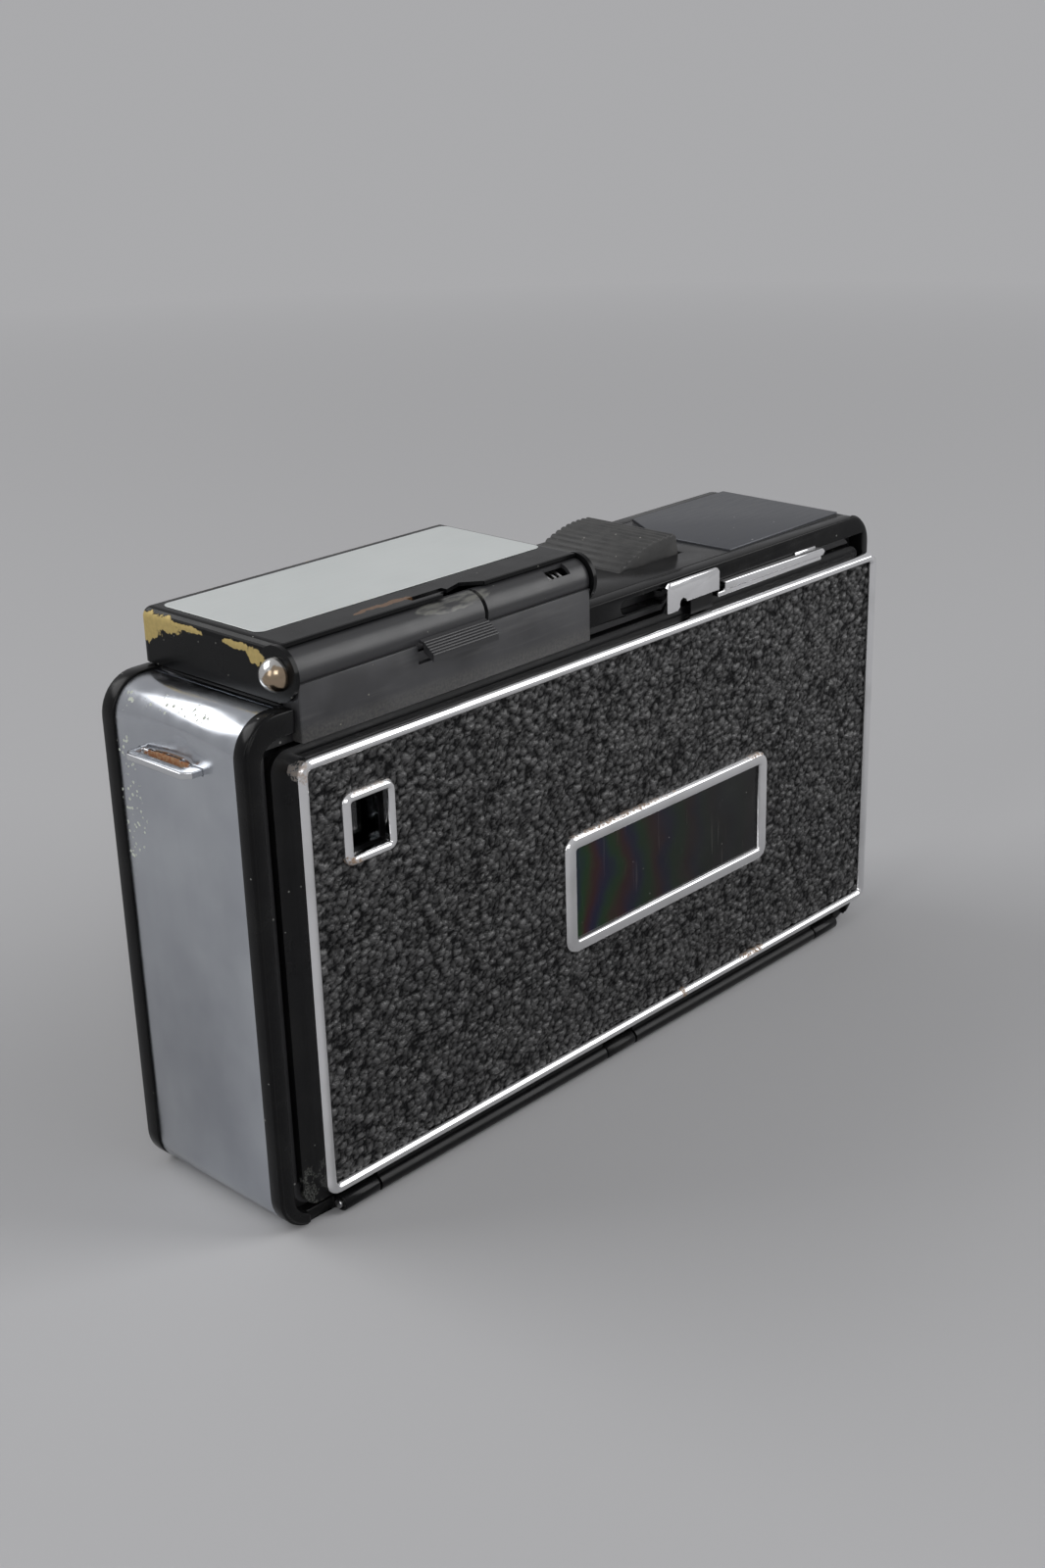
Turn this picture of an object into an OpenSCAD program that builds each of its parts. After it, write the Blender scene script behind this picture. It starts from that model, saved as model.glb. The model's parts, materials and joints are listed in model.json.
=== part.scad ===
// Cartridge film camera with a flash that folds into its top, seen from behind:
// X runs to the right, Y runs forward to the lens and Z runs up from the table.

/* [Body] */
// Width of the body from end to end
body_w = 122; // [118:1:150]
// Height of the body from the table to the top cover
body_h = 67.1; // [65:0.1:80]
// Depth of the body from the rear rim to the front rim
body_d = 27.6; // [27:0.1:36]
// Radius of the body's four long edges
corner_r = 5; // [4.5:0.5:7]
// Thickness of the chrome band
band_t = 0.6; // [0.4:0.1:0.8]
// Depth of the rear rim
rear_rim_d = 2.4; // [2.2:0.1:2.8]
// Depth of the front rim
front_rim_d = 2.8; // [2.4:0.1:3.6]
// Wall of the rear rim at the left end
rim_wall = 2; // [1.6:0.1:2.4]
// Height of the rear rim's top bar
rail_h = 2.95; // [2.6:0.05:3.4]

/* [Back door] */
// Gap from the body's left end to the door
door_left = 3.7; // [3.6:0.1:5]
// Gap from the body's right end to the door
door_right = 2.2; // [2.1:0.1:2.8]
// Gap from the top cover down to the door
door_top = 4.6; // [4.5:0.1:5.5]
// Height of the door's lower edge above the table
door_z0 = 2.4; // [2.4:0.1:2.6]
// Radius of the door's corners
door_r = 2.6; // [2.2:0.1:3.6]
// Width of the door's round-topped trim
trim_w = 1.5; // [1.3:0.1:1.9]
// Width of the film window's frame
window_w = 44.4; // [38:0.1:48]
// Height of the film window's frame
window_h = 17.3; // [14:0.1:20]
// Height of the eyepiece frame
eye_side = 9.3; // [8.6:0.1:10]

/* [Film chamber] */
// Width of the film cartridge
cartridge_w = 72; // [66:0.5:74]
// Height of the film cartridge
cartridge_h = 41.5; // [38:0.5:43]
// Thickness of the cartridge's two round ends
cartridge_d = 20.5; // [18:0.5:21]
// Side of the square picture
picture = 27; // [24:0.5:28]

/* [Lens] */
// Distance of the lens axis to the right of the body's middle
lens_x = 9.6; // [8:0.1:11]
// Height of the lens axis
lens_z = 28.2; // [26:0.1:30]
// Outer radius of the lens barrel
barrel_r = 15; // [13.5:0.1:17]
// Distance that the lens stands out of the front rim
barrel_out = 14.5; // [13:0.5:18]

/* [Flash] */
// Gap from the body's left end to the lid
lid_left = 7.1; // [7:0.1:9]
// Width of the lid
lid_w = 51; // [45:0.1:61]
// Height of the lid's top above the top cover
lid_h = 7.1; // [6.4:0.1:8.5]
// Thickness of the lid's sheet
lid_t = 0.5; // [0.4:0.05:0.6]
// Radius of the hinge barrel
knuckle_r = 2.7; // [2.5:0.05:2.75]
// Radius of the hinge pin
pin_r = 1; // [0.8:0.05:1.2]
// Length of the sleeve that the ribbed tab turns
ejector_w = 30.2; // [26:0.1:31]
// Width of the ribbed tab
tab_w = 11.1; // [8:0.1:14]

/* [Shutter key] */
// Width of the key
key_w = 13.1; // [11:0.1:16]
// Rise of the key above the top cover
key_rise = 3; // [2.5:0.1:3.6]
// Number of ribs across the key
key_ribs = 11; // [8:1:14]

/* [Base] */
// Radius of the tripod thread
thread_r = 3.175; // [3.175:0.001:4.763]
// Depth of the tripod thread
thread_depth = 5.2; // [4.4:0.1:6.2]
// Swing of the advance lever
lever_swing = 70; // [50:5:80]

/* [Hidden] */
$fn = 48;

// The body's ends, rear and front, and where rims, band and cover meet
x_l = -body_w / 2;
x_r = body_w / 2;
y_b = -body_d / 2;
y_f = body_d / 2;
y_band0 = y_b + rear_rim_d;
y_band1 = y_f - front_rim_d;
band_in = 0.2;
fit = 0.05;
running = 0.06;
cover_t = band_in + band_t;
shell_in = cover_t + fit;

// The door and what lies on it
door_x0 = x_l + door_left;
door_x1 = x_r - door_right;
door_z1 = body_h - door_top;
panel_y0 = y_b - 0.6;
panel_y1 = y_b + 0.1;
flange_y0 = y_b + 0.45;
flange_y1 = y_b + 1.1;
trim_x0 = door_x0 + 2.3;
trim_x1 = x_r - 0.2;
trim_z0 = door_z0 + 1.2;
trim_z1 = door_z1 - 1.2;
trim_r = 2;
trim_out = 1.35;
trim_skin = 0.35;
leather_t = 0.6;
frame_out = 1.3;
skirt_t = 0.8;
skirt_y = y_band0 - 0.2;
gap = 0.3;
hinge_y = y_b - 0.4;
hinge_z = 1.25;
hinge_pin_r = 0.55;
hinge_knuckle_r = 1.1;
hinge_inset = 5;
hinge_ear = 6;
rim_open_z = 1.75;
lip_z1 = body_h - rail_h - 0.25;
eye_x = door_x0 + 12.8;
eye_z = door_z1 - 11.8;
eye_w = eye_side - 0.9;
eye_wall = 1.25;
window_x = lens_x + 2.1;
window_z = lens_z + 0.2;
window_wall = 2;

// The film chamber
chamber_gap = 1;
chamber_w = cartridge_w + 2 * chamber_gap;
chamber_z0 = 7;
chamber_z1 = chamber_z0 + cartridge_h + 0.7;
pocket_r = cartridge_d / 2 + 0.5;
pocket_y = y_b + pocket_r + 0.15;
supply_x = lens_x - chamber_w / 2 + pocket_r;
takeup_x = lens_x + chamber_w / 2 - pocket_r;
gate_y = y_b + 9;
gate_t = 0.8;
shutter_y = y_band1 - 2.5;
shutter_t = 0.8;
blade_t = 0.4;
shutter_r = 16;
aperture_r = 4;

// The flash
lid_x0 = x_l + lid_left;
lid_x1 = lid_x0 + lid_w;
lid_top = body_h + lid_h;
lid_z0 = body_h + 0.3;
pin_y = y_b + 2.3;
pin_z = lid_top - lid_t - 0.2 - knuckle_r;
ear_t = 0.6;
ear_r = lid_top - pin_z;
ear_gap = 0.2;
lid_y0 = pin_y - 0.4;
lid_y1 = y_f - 0.05;
lid_edge_r = 1.3;
barrel_x0 = lid_x0 + ear_t + ear_gap;
barrel_x1 = lid_x1 - ear_t - ear_gap;
barrel_split = barrel_x0 + ejector_w;
saddle_y1 = pin_y + knuckle_r + 0.8;
pan_z = body_h - 8;
pan_low = door_z1 + 0.25;
pan_t = 1;
pan_y1 = y_band1 - 0.3;
socket_x = (lid_x0 + lid_x1) / 2;
socket_y = (saddle_y1 + lid_y1) / 2;
socket_r = 5.2;
bulb_base = [7.8, 3.4];
bowl_r = 62;
bowl_t = 0.4;
bowl_edge = lid_z0 + 0.6;
bowl_depth = 4.4;

// The key and what it pushes
key_x0 = lid_x1 + 14.7;
key_x1 = key_x0 + key_w;
key_y0 = y_b + 8;
key_y1 = y_f - 3.4;
key_axis = [key_x0 + 0.6, body_h - 1.2];
key_gap = 0.35;
key_under = body_h - 1.8;
key_wall = 1.2;
well_z = body_h - 6.2;
rod_x = key_x1 - 3 - key_wall / 2;
rod_y = key_y1 - 3.2;
rod_r = 1;
rod_z0 = lens_z + 12.4;
rod_head_r = 1.8;
rod_head_z = key_under - 0.1;
rod_drop = 2.6;

// The latch
latch_x0 = key_x0 - 0.6;
latch_w = 11.3;
latch_h = 4.35;
latch_t = 0.6;
latch_y = y_b - 1.3;
latch_travel = 6.5;
keeper_w = 4.8;
leaf_len = 24.9;
slot_z0 = lip_z1 + 0.45;
slot_h = 1.9;

// The advance lever
lever_z0 = 0.4;
lever_t = 1.2;
lever_ceiling = 2.1;
lever_hub = 7;
lever_w = 6;
lever_rest = 55;
lever_reach = 27;

// Puts a drawing of X and Z into the slab from y0 to y1
module slab(y0, y1)
    translate([0, y1, 0]) rotate([90, 0, 0]) linear_extrude(y1 - y0) children();

// Turns a shape drawn along Z to run forward along Y from y
module forward(x, y, z)
    translate([x, y, z]) rotate([-90, 0, 0]) children();

// Turns a shape drawn along Z to run right along X from x
module rightward(x, y, z)
    translate([x, y, z]) rotate([0, 90, 0]) children();

// A block from its two opposite corners
module block(a, b)
    translate(a) cube(b - a);

// A rectangle with four round corners
module rounded(x0, x1, z0, z1, r) {
    translate([x0 + r, z0]) square([x1 - x0 - 2 * r, z1 - z0]);
    translate([x0, z0 + r]) square([x1 - x0, z1 - z0 - 2 * r]);
    for (x = [x0 + r, x1 - r], z = [z0 + r, z1 - r]) translate([x, z]) circle(r);
}

// The body's outline seen from behind, drawn in by inset and by base at the bottom
module outline(inset = 0, base = 0)
    rounded(x_l + inset, x_r - inset, base, body_h - inset, corner_r - inset);

// The zone of the outline that the top cover takes, where the chrome band stops
module cover_zone() {
    translate([lid_x0 + 0.3, body_h - 3]) square([body_w, 10]);
    translate([x_r - corner_r - 1, body_h - corner_r - 2.6]) square([corner_r + 2, corner_r + 5]);
}

// A closed run of one profile round a rectangle: the profile's X points outwards
module frame_run(x0, x1, z0, z1, r) {
    w = x1 - x0 - 2 * r;
    h = z1 - z0 - 2 * r;
    sides = [[x1, z1 - r, h, 0], [x0 + r, z1, w, 90], [x0, z0 + r, h, 180], [x1 - r, z0, w, 270]];
    corners = [[x1 - r, z1 - r, 0], [x0 + r, z1 - r, 90], [x0 + r, z0 + r, 180], [x1 - r, z0 + r, 270]];
    for (s = sides)
        translate([s[0], s[1], 0]) rotate([90, 0, s[3]]) linear_extrude(s[2]) children();
    for (c = corners)
        translate([c[0], c[1], 0]) rotate(c[2]) rotate_extrude(angle = 90) translate([r, 0]) children();
}

// Stands a run of trim on a plane that faces the rear
module on_rear(y)
    translate([0, y, 0]) rotate([90, 0, 0]) children();

// A bevelled window frame with its outer edge at the given corners
module window_trim(x0, x1, z0, z1, wall, out) {
    half = wall / 2;
    on_rear(panel_y0) frame_run(x0 + half, x1 - half, z0 + half, z1 - half, half + 0.2)
        polygon([[-half, 0], [half, 0], [half, out - 0.45], [half - 0.4, out], [-half + 0.25, out],
            [-half, out - 0.35]]);
}

// The light-tight cavities for the cartridge, from the door forward
module chamber_cut() {
    for (x = [supply_x, takeup_x]) {
        translate([x, pocket_y, chamber_z0]) cylinder(r = pocket_r, h = chamber_z1 - chamber_z0);
        block([x - pocket_r, y_b - 1, chamber_z0], [x + pocket_r, pocket_y, chamber_z1]);
    }
    block([supply_x, y_b - 1, chamber_z0], [takeup_x, gate_y, chamber_z1]);
}

// The stepped light tunnel from the film gate to the shutter
module tunnel_cut()
    for (s = [[picture + 0.8, 0, 5], [picture - 5, 4, 10], [picture - 11, 9, 20]])
        block([lens_x - s[0] / 2, gate_y + s[1], lens_z - s[0] / 2],
            [lens_x + s[0] / 2, min(gate_y + s[2], shutter_y), lens_z + s[0] / 2]);

// The viewfinder's tunnel, wider at the front
module finder_cut() {
    half = eye_side / 2 - 0.4;
    wide = half + 1.6;
    block([eye_x - half, y_b - 2, eye_z - half], [eye_x + half, y_f, eye_z + half]);
    block([eye_x - wide, y_band1 - 6, eye_z - wide + 1], [eye_x + wide, y_f, eye_z + wide - 1]);
}

// The pocket for the flash battery, open towards the door
battery_r = 7.6;
battery_x = x_l + 16;
battery_y = y_b + battery_r + 2;
battery_h = 31;
bay_r = battery_r + 0.5;
bay_z0 = 7;
bay_z1 = bay_z0 + battery_h + 3;
module bay_cut() {
    translate([battery_x, battery_y, bay_z0]) cylinder(r = bay_r, h = bay_z1 - bay_z0);
    block([battery_x - bay_r, y_b - 1, bay_z0], [battery_x + bay_r, battery_y, bay_z1]);
}

// The body's moulding, before it is parted into the left housing, the film chamber and the top deck
module moulding() difference() {
    union() {
        slab(y_band0, y_band1) outline(shell_in, shell_in - band_in);
        slab(flange_y1 + 0.1, y_band0) rounded(door_x0 - 1.1, door_x1 - 1.1, hinge_z + 1.35, lip_z1, 3);
    }
    chamber_cut();
    tunnel_cut();
    finder_cut();
    bay_cut();
    // Light trap grooves that take the door's skirts
    block([door_x0 - gap, y_b - 1, 6], [door_x0 + skirt_t + gap, y_band0 + 0.3, door_z1 + gap]);
    block([door_x0 - gap, y_b - 1, door_z1 - skirt_t - gap], [door_x1, y_band0 + 0.3, door_z1 + gap]);
    // Pocket for the flash pan and its saddle
    block([barrel_x0 - fit, y_b - 1, pan_low - fit], [barrel_x1 + fit, saddle_y1 + fit, body_h]);
    block([barrel_x0 - fit, saddle_y1 - 1.2 - fit, pan_z - fit], [barrel_x1 + fit, pan_y1 + fit, body_h]);
    // Well and bore under the shutter key
    block([key_x0 - key_gap, key_y0 - key_gap, well_z], [key_x1 + key_gap, y_f, body_h]);
    translate([rod_x, rod_y, rod_z0 - rod_drop]) cylinder(r = rod_r + running, h = body_h);
    // Shutter cavity
    forward(lens_x, shutter_y, lens_z) cylinder(r = shutter_r, h = 10);
    // Seats of the tripod bush, the lever with its shaft and the feeler
    translate([lens_x, bush_y, -1]) cylinder(r = thread_r + 2 + fit, h = bush_h + 1 + fit);
    lever_cut(lever_ceiling);
    translate([takeup_x, pocket_y, 0]) cylinder(r = 2 + running, h = chamber_z0 + 1);
    feeler_block(0.25, 1.4);
    gate_screw_places() forward(0, gate_y - 1, 0) cylinder(r = 0.8, h = 5);
    // Slots for the strap lug's root and the gate plate
    block([x_l, lug_y0 - 0.1, lug_z - 0.1], [x_l + 3.2, lug_y1 + 0.1, lug_z + lug_t + 0.1]);
    block([lens_x - gate_w / 2 - fit, gate_y - 1, chamber_z0], [lens_x + gate_w / 2 + fit, gate_y + gate_t, chamber_z1]);
    base_screw_places() translate([0, 0, -1]) cylinder(r = 1.1, h = 5);
}

split_x = (battery_x + bay_r + supply_x - pocket_r) / 2;
split_z = chamber_z1;
module body_part(a, b) color("#1b1b1c") intersection() {
    moulding();
    block(a, b);
}
module left_housing() body_part([x_l, y_b, 0], [split_x - fit, y_f, body_h]);
module film_chamber() body_part([split_x, y_b, chamber_z0], [x_r, y_f, split_z]);
module chamber_floor() body_part([split_x, y_b, 0], [x_r, y_f, chamber_z0 - fit]);
module top_deck() body_part([split_x, y_b, split_z + fit], [x_r, y_f, body_h]);

module front_rim() color("#141414") difference() {
    union() {
        slab(y_band1, y_f - 0.5) outline();
        slab(y_f - 0.6, y_f) outline(0.45, 0.45);
    }
    slab(y_band1 - 1, y_f + 1) outline(front_wall, front_wall);
    lever_cut(lever_ceiling);
    inlay_cut();
    block([key_x0 - key_gap, 0, key_under - 1], [key_x1 + key_gap, key_y1 + key_gap, body_h + 1]);
}
front_wall = 3;

// The rear rim: its bottom bar is stepped for the hinge, and its top bar stops at the flash
module rear_rim() color("#141414") {
    difference() {
        union() {
            slab(y_b + rim_step, y_band0) outline();
            slab(y_b, y_band0) rounded(x_l + rim_step, x_r - rim_step, rim_step, body_h, corner_r - rim_step);
        }
        slab(y_b - 1, y_band0 + 1) {
            rounded(x_l + rim_wall, x_r - door_right + gap, rim_open_z, body_h - rail_h, 3);
            translate([x_r - door_right + gap - 4, body_h - rail_h - 4]) square(4);
        }
        block([door_x0 + 0.5, y_b - 1, -1], [door_x1 - 0.5, hinge_y + hinge_knuckle_r + 0.2, 3]);
        block([barrel_x0 - 0.5, y_b - 1, lip_z1], [barrel_x1 + 0.3, y_band0 + 1, body_h + 1]);
        latch_slot();
        lever_cut(lever_ceiling);
    }
    for (x = hinge_ears) difference() {
        union() {
            rightward(x, hinge_y, hinge_z) cylinder(r = hinge_knuckle_r, h = hinge_ear);
            block([x, hinge_y, hinge_z - hinge_knuckle_r], [x + hinge_ear, y_band0, rim_open_z]);
        }
        rightward(x - 1, hinge_y, hinge_z) cylinder(r = hinge_pin_r + 0.02, h = hinge_ear + 2);
    }
}
rim_step = 0.4;
hinge_ears = [door_x0 + hinge_inset, (door_x0 + door_x1 - hinge_ear) / 2, door_x1 - hinge_inset - hinge_ear];

// Oval slot in the top bar that the latch's flange runs in
module latch_slot() {
    x0 = latch_x0 - latch_travel - 1.6;
    x1 = latch_x0 + 3;
    for (x = [x0 + slot_h / 2, x1]) forward(x, y_b - 1, slot_z0 + slot_h / 2) cylinder(r = slot_h / 2, h = 5);
    block([x0 + slot_h / 2, y_b - 1, slot_z0], [x1, y_band0 + 1, slot_z0 + slot_h]);
}

// The chrome band: a piece round each end and a plate under the base
band_end = corner_r + 1.5;
module band_piece(x0, x1) color("#c8cbce") difference() {
    intersection() {
        slab(y_band0, y_band1) difference() {
            outline(band_in, 0);
            outline(cover_t, band_t);
            cover_zone();
        }
        block([x0, y_b, -1], [x1, y_f, body_h + 1]);
    }
    lever_cut(lever_ceiling);
    translate([lens_x, bush_y, -1]) cylinder(r = thread_r + 2 + fit, h = 3);
    block([x_l - 1, lug_y0 - fit, lug_z - fit], [x_l + 3, lug_y1 + fit, lug_z + lug_t + fit]);
    translate([x_l + band_in + 0.4 - dish_r, lug_mid, lug_z + 2.2]) sphere(dish_r);
    base_screw_places() translate([0, 0, -0.01]) cylinder(r1 = 1.9, r2 = 1, h = 0.9);
}
module left_band() band_piece(x_l - 1, x_l + band_end);
module base_plate() band_piece(x_l + band_end + fit, x_r - band_end - fit);
module right_band() band_piece(x_r - band_end, x_r + 1);
dish_r = 26;

// A flat eye of sheet metal that a wrist strap is tied to
lug_mid = 0.6;
lug_len = 12;
lug_t = 0.8;
lug_out = 2.3;
lug_z = body_h - 8;
lug_y0 = lug_mid - lug_len / 2;
lug_y1 = lug_mid + lug_len / 2;
slit_w = 1.15;
module strap_lug() color("#cfd2d4") translate([0, 0, lug_z]) linear_extrude(lug_t) difference() {
    polygon([[x_l + 3, lug_y0], [x_l - lug_out + 1, lug_y0], [x_l - lug_out, lug_y0 + 1],
        [x_l - lug_out, lug_y1 - 1], [x_l - lug_out + 1, lug_y1], [x_l + 3, lug_y1]]);
    translate([x_l + 0.15 - slit_w, lug_y0 + 2.3]) square([slit_w, lug_len - 3]);
}

module top_cover() color("#101010") difference() {
    slab(y_band0, y_band1) intersection() {
        difference() {
            outline();
            outline(cover_t);
        }
        cover_zone();
    }
    block([barrel_x0 - fit, y_b - 1, body_h - 2], [barrel_x1 + fit, pan_y1 + fit, body_h + 1]);
    block([key_x0 - key_gap, key_y0 - key_gap, body_h - 3], [key_x1 + key_gap, y_f, body_h + 1]);
    inlay_cut();
}

// The dark satin plate let into the top cover, right of the key
inlay_sink = 0.3;
inlay_out = 0.2;
module inlay_shape(grow = 0) {
    left = key_x1 - grow;
    right = x_r + grow;
    polygon([[left + 5.2, y_b + 2.8 - grow], [left + 5, y_b + 13], [left + 6.6, y_b + 19],
        [left + 10.3, y_f - 2.4 + grow], [right - 3.7, y_f - 2.4 + grow], [right - 4.1, y_b + 3.2 - grow]]);
}
module inlay_cut() translate([0, 0, body_h - inlay_sink]) linear_extrude(3) inlay_shape(fit);
module top_inlay() color("#5c6066") translate([0, 0, body_h - inlay_sink])
    linear_extrude(inlay_sink + inlay_out) inlay_shape();

// The front: a moulded panel with its leatherette, the lens and the finder window
finder_wall = 1.4;
finder_w = eye_side + 4;
finder_h = eye_side + 2;
module front_openings(lens_r, grow) {
    translate([lens_x, lens_z]) circle(lens_r);
    translate([eye_x - finder_w / 2 - grow, eye_z - finder_h / 2 - grow])
        square([finder_w + 2 * grow, finder_h + 2 * grow]);
}
module front_panel() color("#161616") slab(y_band1 + 0.1, y_f - 1.1) difference() {
    outline(front_wall + fit, front_wall + fit);
    front_openings(barrel_r - 1 + fit, fit - finder_wall);
}
module front_leatherette() color("#202021") slab(y_f - 1.1, y_f - 0.5) difference() {
    outline(front_wall + 0.1, front_wall + 0.1);
    front_openings(barrel_r + 3.1, 0.1);
}
module finder_frame() color("#c8cbce") slab(y_f - 1.1, y_f + 0.2) difference() {
    rounded(eye_x - finder_w / 2, eye_x + finder_w / 2, eye_z - finder_h / 2, eye_z + finder_h / 2, 1);
    translate([eye_x - finder_w / 2 + finder_wall, eye_z - finder_h / 2 + finder_wall])
        square([finder_w - 2 * finder_wall, finder_h - 2 * finder_wall]);
}
module finder_lens() color("#9fb4bd", 0.4)
    block([eye_x - finder_w / 2 + finder_wall + 0.1, y_f - 2.6, eye_z - finder_h / 2 + finder_wall + 0.1],
        [eye_x + finder_w / 2 - finder_wall - 0.1, y_f - 0.8, eye_z + finder_h / 2 - finder_wall - 0.1]);
module eyepiece_lens() color("#9fb4bd", 0.4) {
    half = eye_side / 2 - 0.45;
    block([eye_x - half, y_band0 - 0.6, eye_z - half], [eye_x + half, y_band0 + 1, eye_z + half]);
}

// The lens barrel and the rings and glasses that it carries
barrel_y0 = y_band1 + 0.1;
barrel_y1 = y_f + barrel_out;
ring_y0 = y_f + 1.3;
ring_w = 5;
nose_r = barrel_r - 2;
bore_r = 10.4;
throat_r = 6;
module lens_barrel() color("#1a1a1b") forward(lens_x, barrel_y0, lens_z) rotate_extrude() {
    flange = y_f - barrel_y0 - 0.5;
    step = ring_y0 + ring_w + 0.1 - barrel_y0;
    end = barrel_y1 - barrel_y0;
    polygon([[throat_r, 0], [barrel_r - 1, 0], [barrel_r - 1, flange - 0.6], [barrel_r + 3, flange - 0.6],
        [barrel_r + 3, flange + 0.8], [barrel_r + 2.2, flange + 1.4], [barrel_r, flange + 1.4],
        [barrel_r, step], [nose_r, step], [nose_r, end - 0.6], [nose_r - 0.6, end],
        [bore_r, end], [bore_r, end - 6], [throat_r, end - 8]]);
}
module lens_front_ring() color("#c8cbce") forward(lens_x, barrel_y1 - 3.4, lens_z) rotate_extrude()
    polygon([[8.2, 0], [bore_r - fit, 0], [bore_r - fit, 3.2], [bore_r - 0.4, 3.6], [9.4, 3.6], [7.6, 1.4]]);

// A glass with two curved faces, cut to its rim radius
module glass(r, thick, curve) rotate_extrude() intersection() {
    translate([0, -thick]) square([r, 2 * thick]);
    translate([0, curve - thick / 2]) circle(curve, $fn = 720);
    translate([0, thick / 2 - curve]) circle(curve, $fn = 720);
}
module front_lens() color("#8fa0b8", 0.4) forward(lens_x, barrel_y1 - 5.1, lens_z) glass(bore_r - 0.3, 3.4, 32);
module rear_lens() color("#8fa0b8", 0.4) forward(lens_x, barrel_y0 + 1.6, lens_z) glass(throat_r - fit, 2.4, 16);
module setting_ring() color("#b9bcc0") forward(lens_x, ring_y0, lens_z) difference() {
    union() {
        cylinder(r = barrel_r + 1.9, h = ring_w);
        for (i = [0:29]) rotate(i * 12) translate([barrel_r + 1.8, 0, 0.8]) cylinder(r = 0.6, h = ring_w - 1.6, $fn = 16);
        translate([0, -barrel_r - 2.6, ring_w / 2]) cube([3.2, 3.2, ring_w], center = true);
    }
    translate([0, 0, -1]) cylinder(r = barrel_r + running, h = ring_w + 2);
}
module ring_retainer() color("#c8cbce") forward(lens_x, ring_y0 + ring_w + 0.15, lens_z) difference() {
    union() {
        cylinder(r = barrel_r + 0.9, h = 0.7);
        translate([0, 0, 0.7]) cylinder(r1 = barrel_r + 0.9, r2 = barrel_r + 0.4, h = 0.5);
    }
    translate([0, 0, -1]) cylinder(r = nose_r + fit, h = 4);
}

// The shutter: a plate, one blade and its pivot
pivot_x = lens_x + 9.4;
pivot_z = lens_z + 9.4;
blade_y = shutter_y + shutter_t + 0.3;
module shutter_plate() color("#2a2a2b") slab(shutter_y, shutter_y + shutter_t) difference() {
    translate([lens_x, lens_z]) circle(shutter_r - fit);
    translate([lens_x, lens_z]) circle(aperture_r);
}
module blade_pivot() color("#b08d4a") forward(pivot_x, shutter_y + shutter_t, pivot_z) cylinder(r = 0.6, h = 1.5);
module shutter_blade() color("#3a3a3c") slab(blade_y, blade_y + blade_t) difference() {
    hull() {
        translate([lens_x, lens_z]) circle(aperture_r + 1.2);
        translate([pivot_x, pivot_z]) circle(1.8);
    }
    translate([pivot_x, pivot_z]) circle(0.6 + running, $fn = 48);
}

// The film gate with its four screws and the feeler that finds the film's hole
gate_w = takeup_x - supply_x - 2 * pocket_r;
module gate_screw_places()
    for (x = [-1, 1], z = [-1, 1])
        translate([lens_x + x * (gate_w / 2 - 1.6), 0, lens_z + z * (picture / 2 + 3.2)]) children();
module film_gate() color("#262627") slab(gate_y, gate_y + gate_t) difference() {
    translate([lens_x - gate_w / 2, chamber_z0 + 0.1]) square([gate_w, chamber_z1 - chamber_z0 - 0.2]);
    translate([lens_x - picture / 2, lens_z - picture / 2]) square(picture);
    translate([feeler_x - 0.3, feeler_z - 0.3]) square([feeler_w + 0.6, feeler_h + 0.6]);
    gate_screw_holes(0.8);
}
module gate_screw_holes(r)
    for (x = [-1, 1], z = [-1, 1])
        translate([lens_x + x * (gate_w / 2 - 1.6), lens_z + z * (picture / 2 + 3.2)]) circle(r);
module gate_screws() color("#8c8f92") gate_screw_places() {
    forward(0, gate_y, 0) cylinder(r = 0.8 - fit, h = 3);
    difference() {
        forward(0, gate_y - 0.4, 0) cylinder(r = 1.3, h = 0.4);
        block([-2, gate_y - 1, -0.15], [2, gate_y - 0.2, 0.15]);
    }
}
feeler_w = 2;
feeler_h = 1.4;
feeler_x = lens_x + 6;
feeler_z = lens_z + picture / 2 + 1.1;
module feeler_block(grow, back)
    block([feeler_x - grow, gate_y - 1, feeler_z - grow],
        [feeler_x + feeler_w + grow, gate_y + 3.4 + back, feeler_z + feeler_h + grow]);
module film_feeler() color("#b8bbbe") difference() {
    feeler_block(0, 0);
    translate([feeler_x - 1, gate_y - 1, feeler_z]) rotate([38, 0, 0]) translate([0, -3, 0]) cube([4, 3, 3]);
}

// The base: tripod bush, two screws and the advance lever with the fork that it turns
bush_y = 3.5;
bush_h = thread_depth + 1.5;
module tripod_bush() color("#c9b27a") translate([lens_x, bush_y, 0]) difference() {
    cylinder(r = thread_r + 2, h = bush_h);
    translate([0, 0, -1]) cylinder(r = thread_r, h = thread_depth + 1);
}
module base_screw_places()
    for (x = [x_l + 22, x_r - 9]) translate([x, -2, 0]) children();
module base_screws() color("#8c8f92") base_screw_places() difference() {
    union() {
        cylinder(r1 = 1.75, r2 = 0.85, h = 0.85);
        cylinder(r = 0.85, h = 3.8);
    }
    block([-2, -0.2, -1], [2, 0.2, 0.35]);
}
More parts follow.
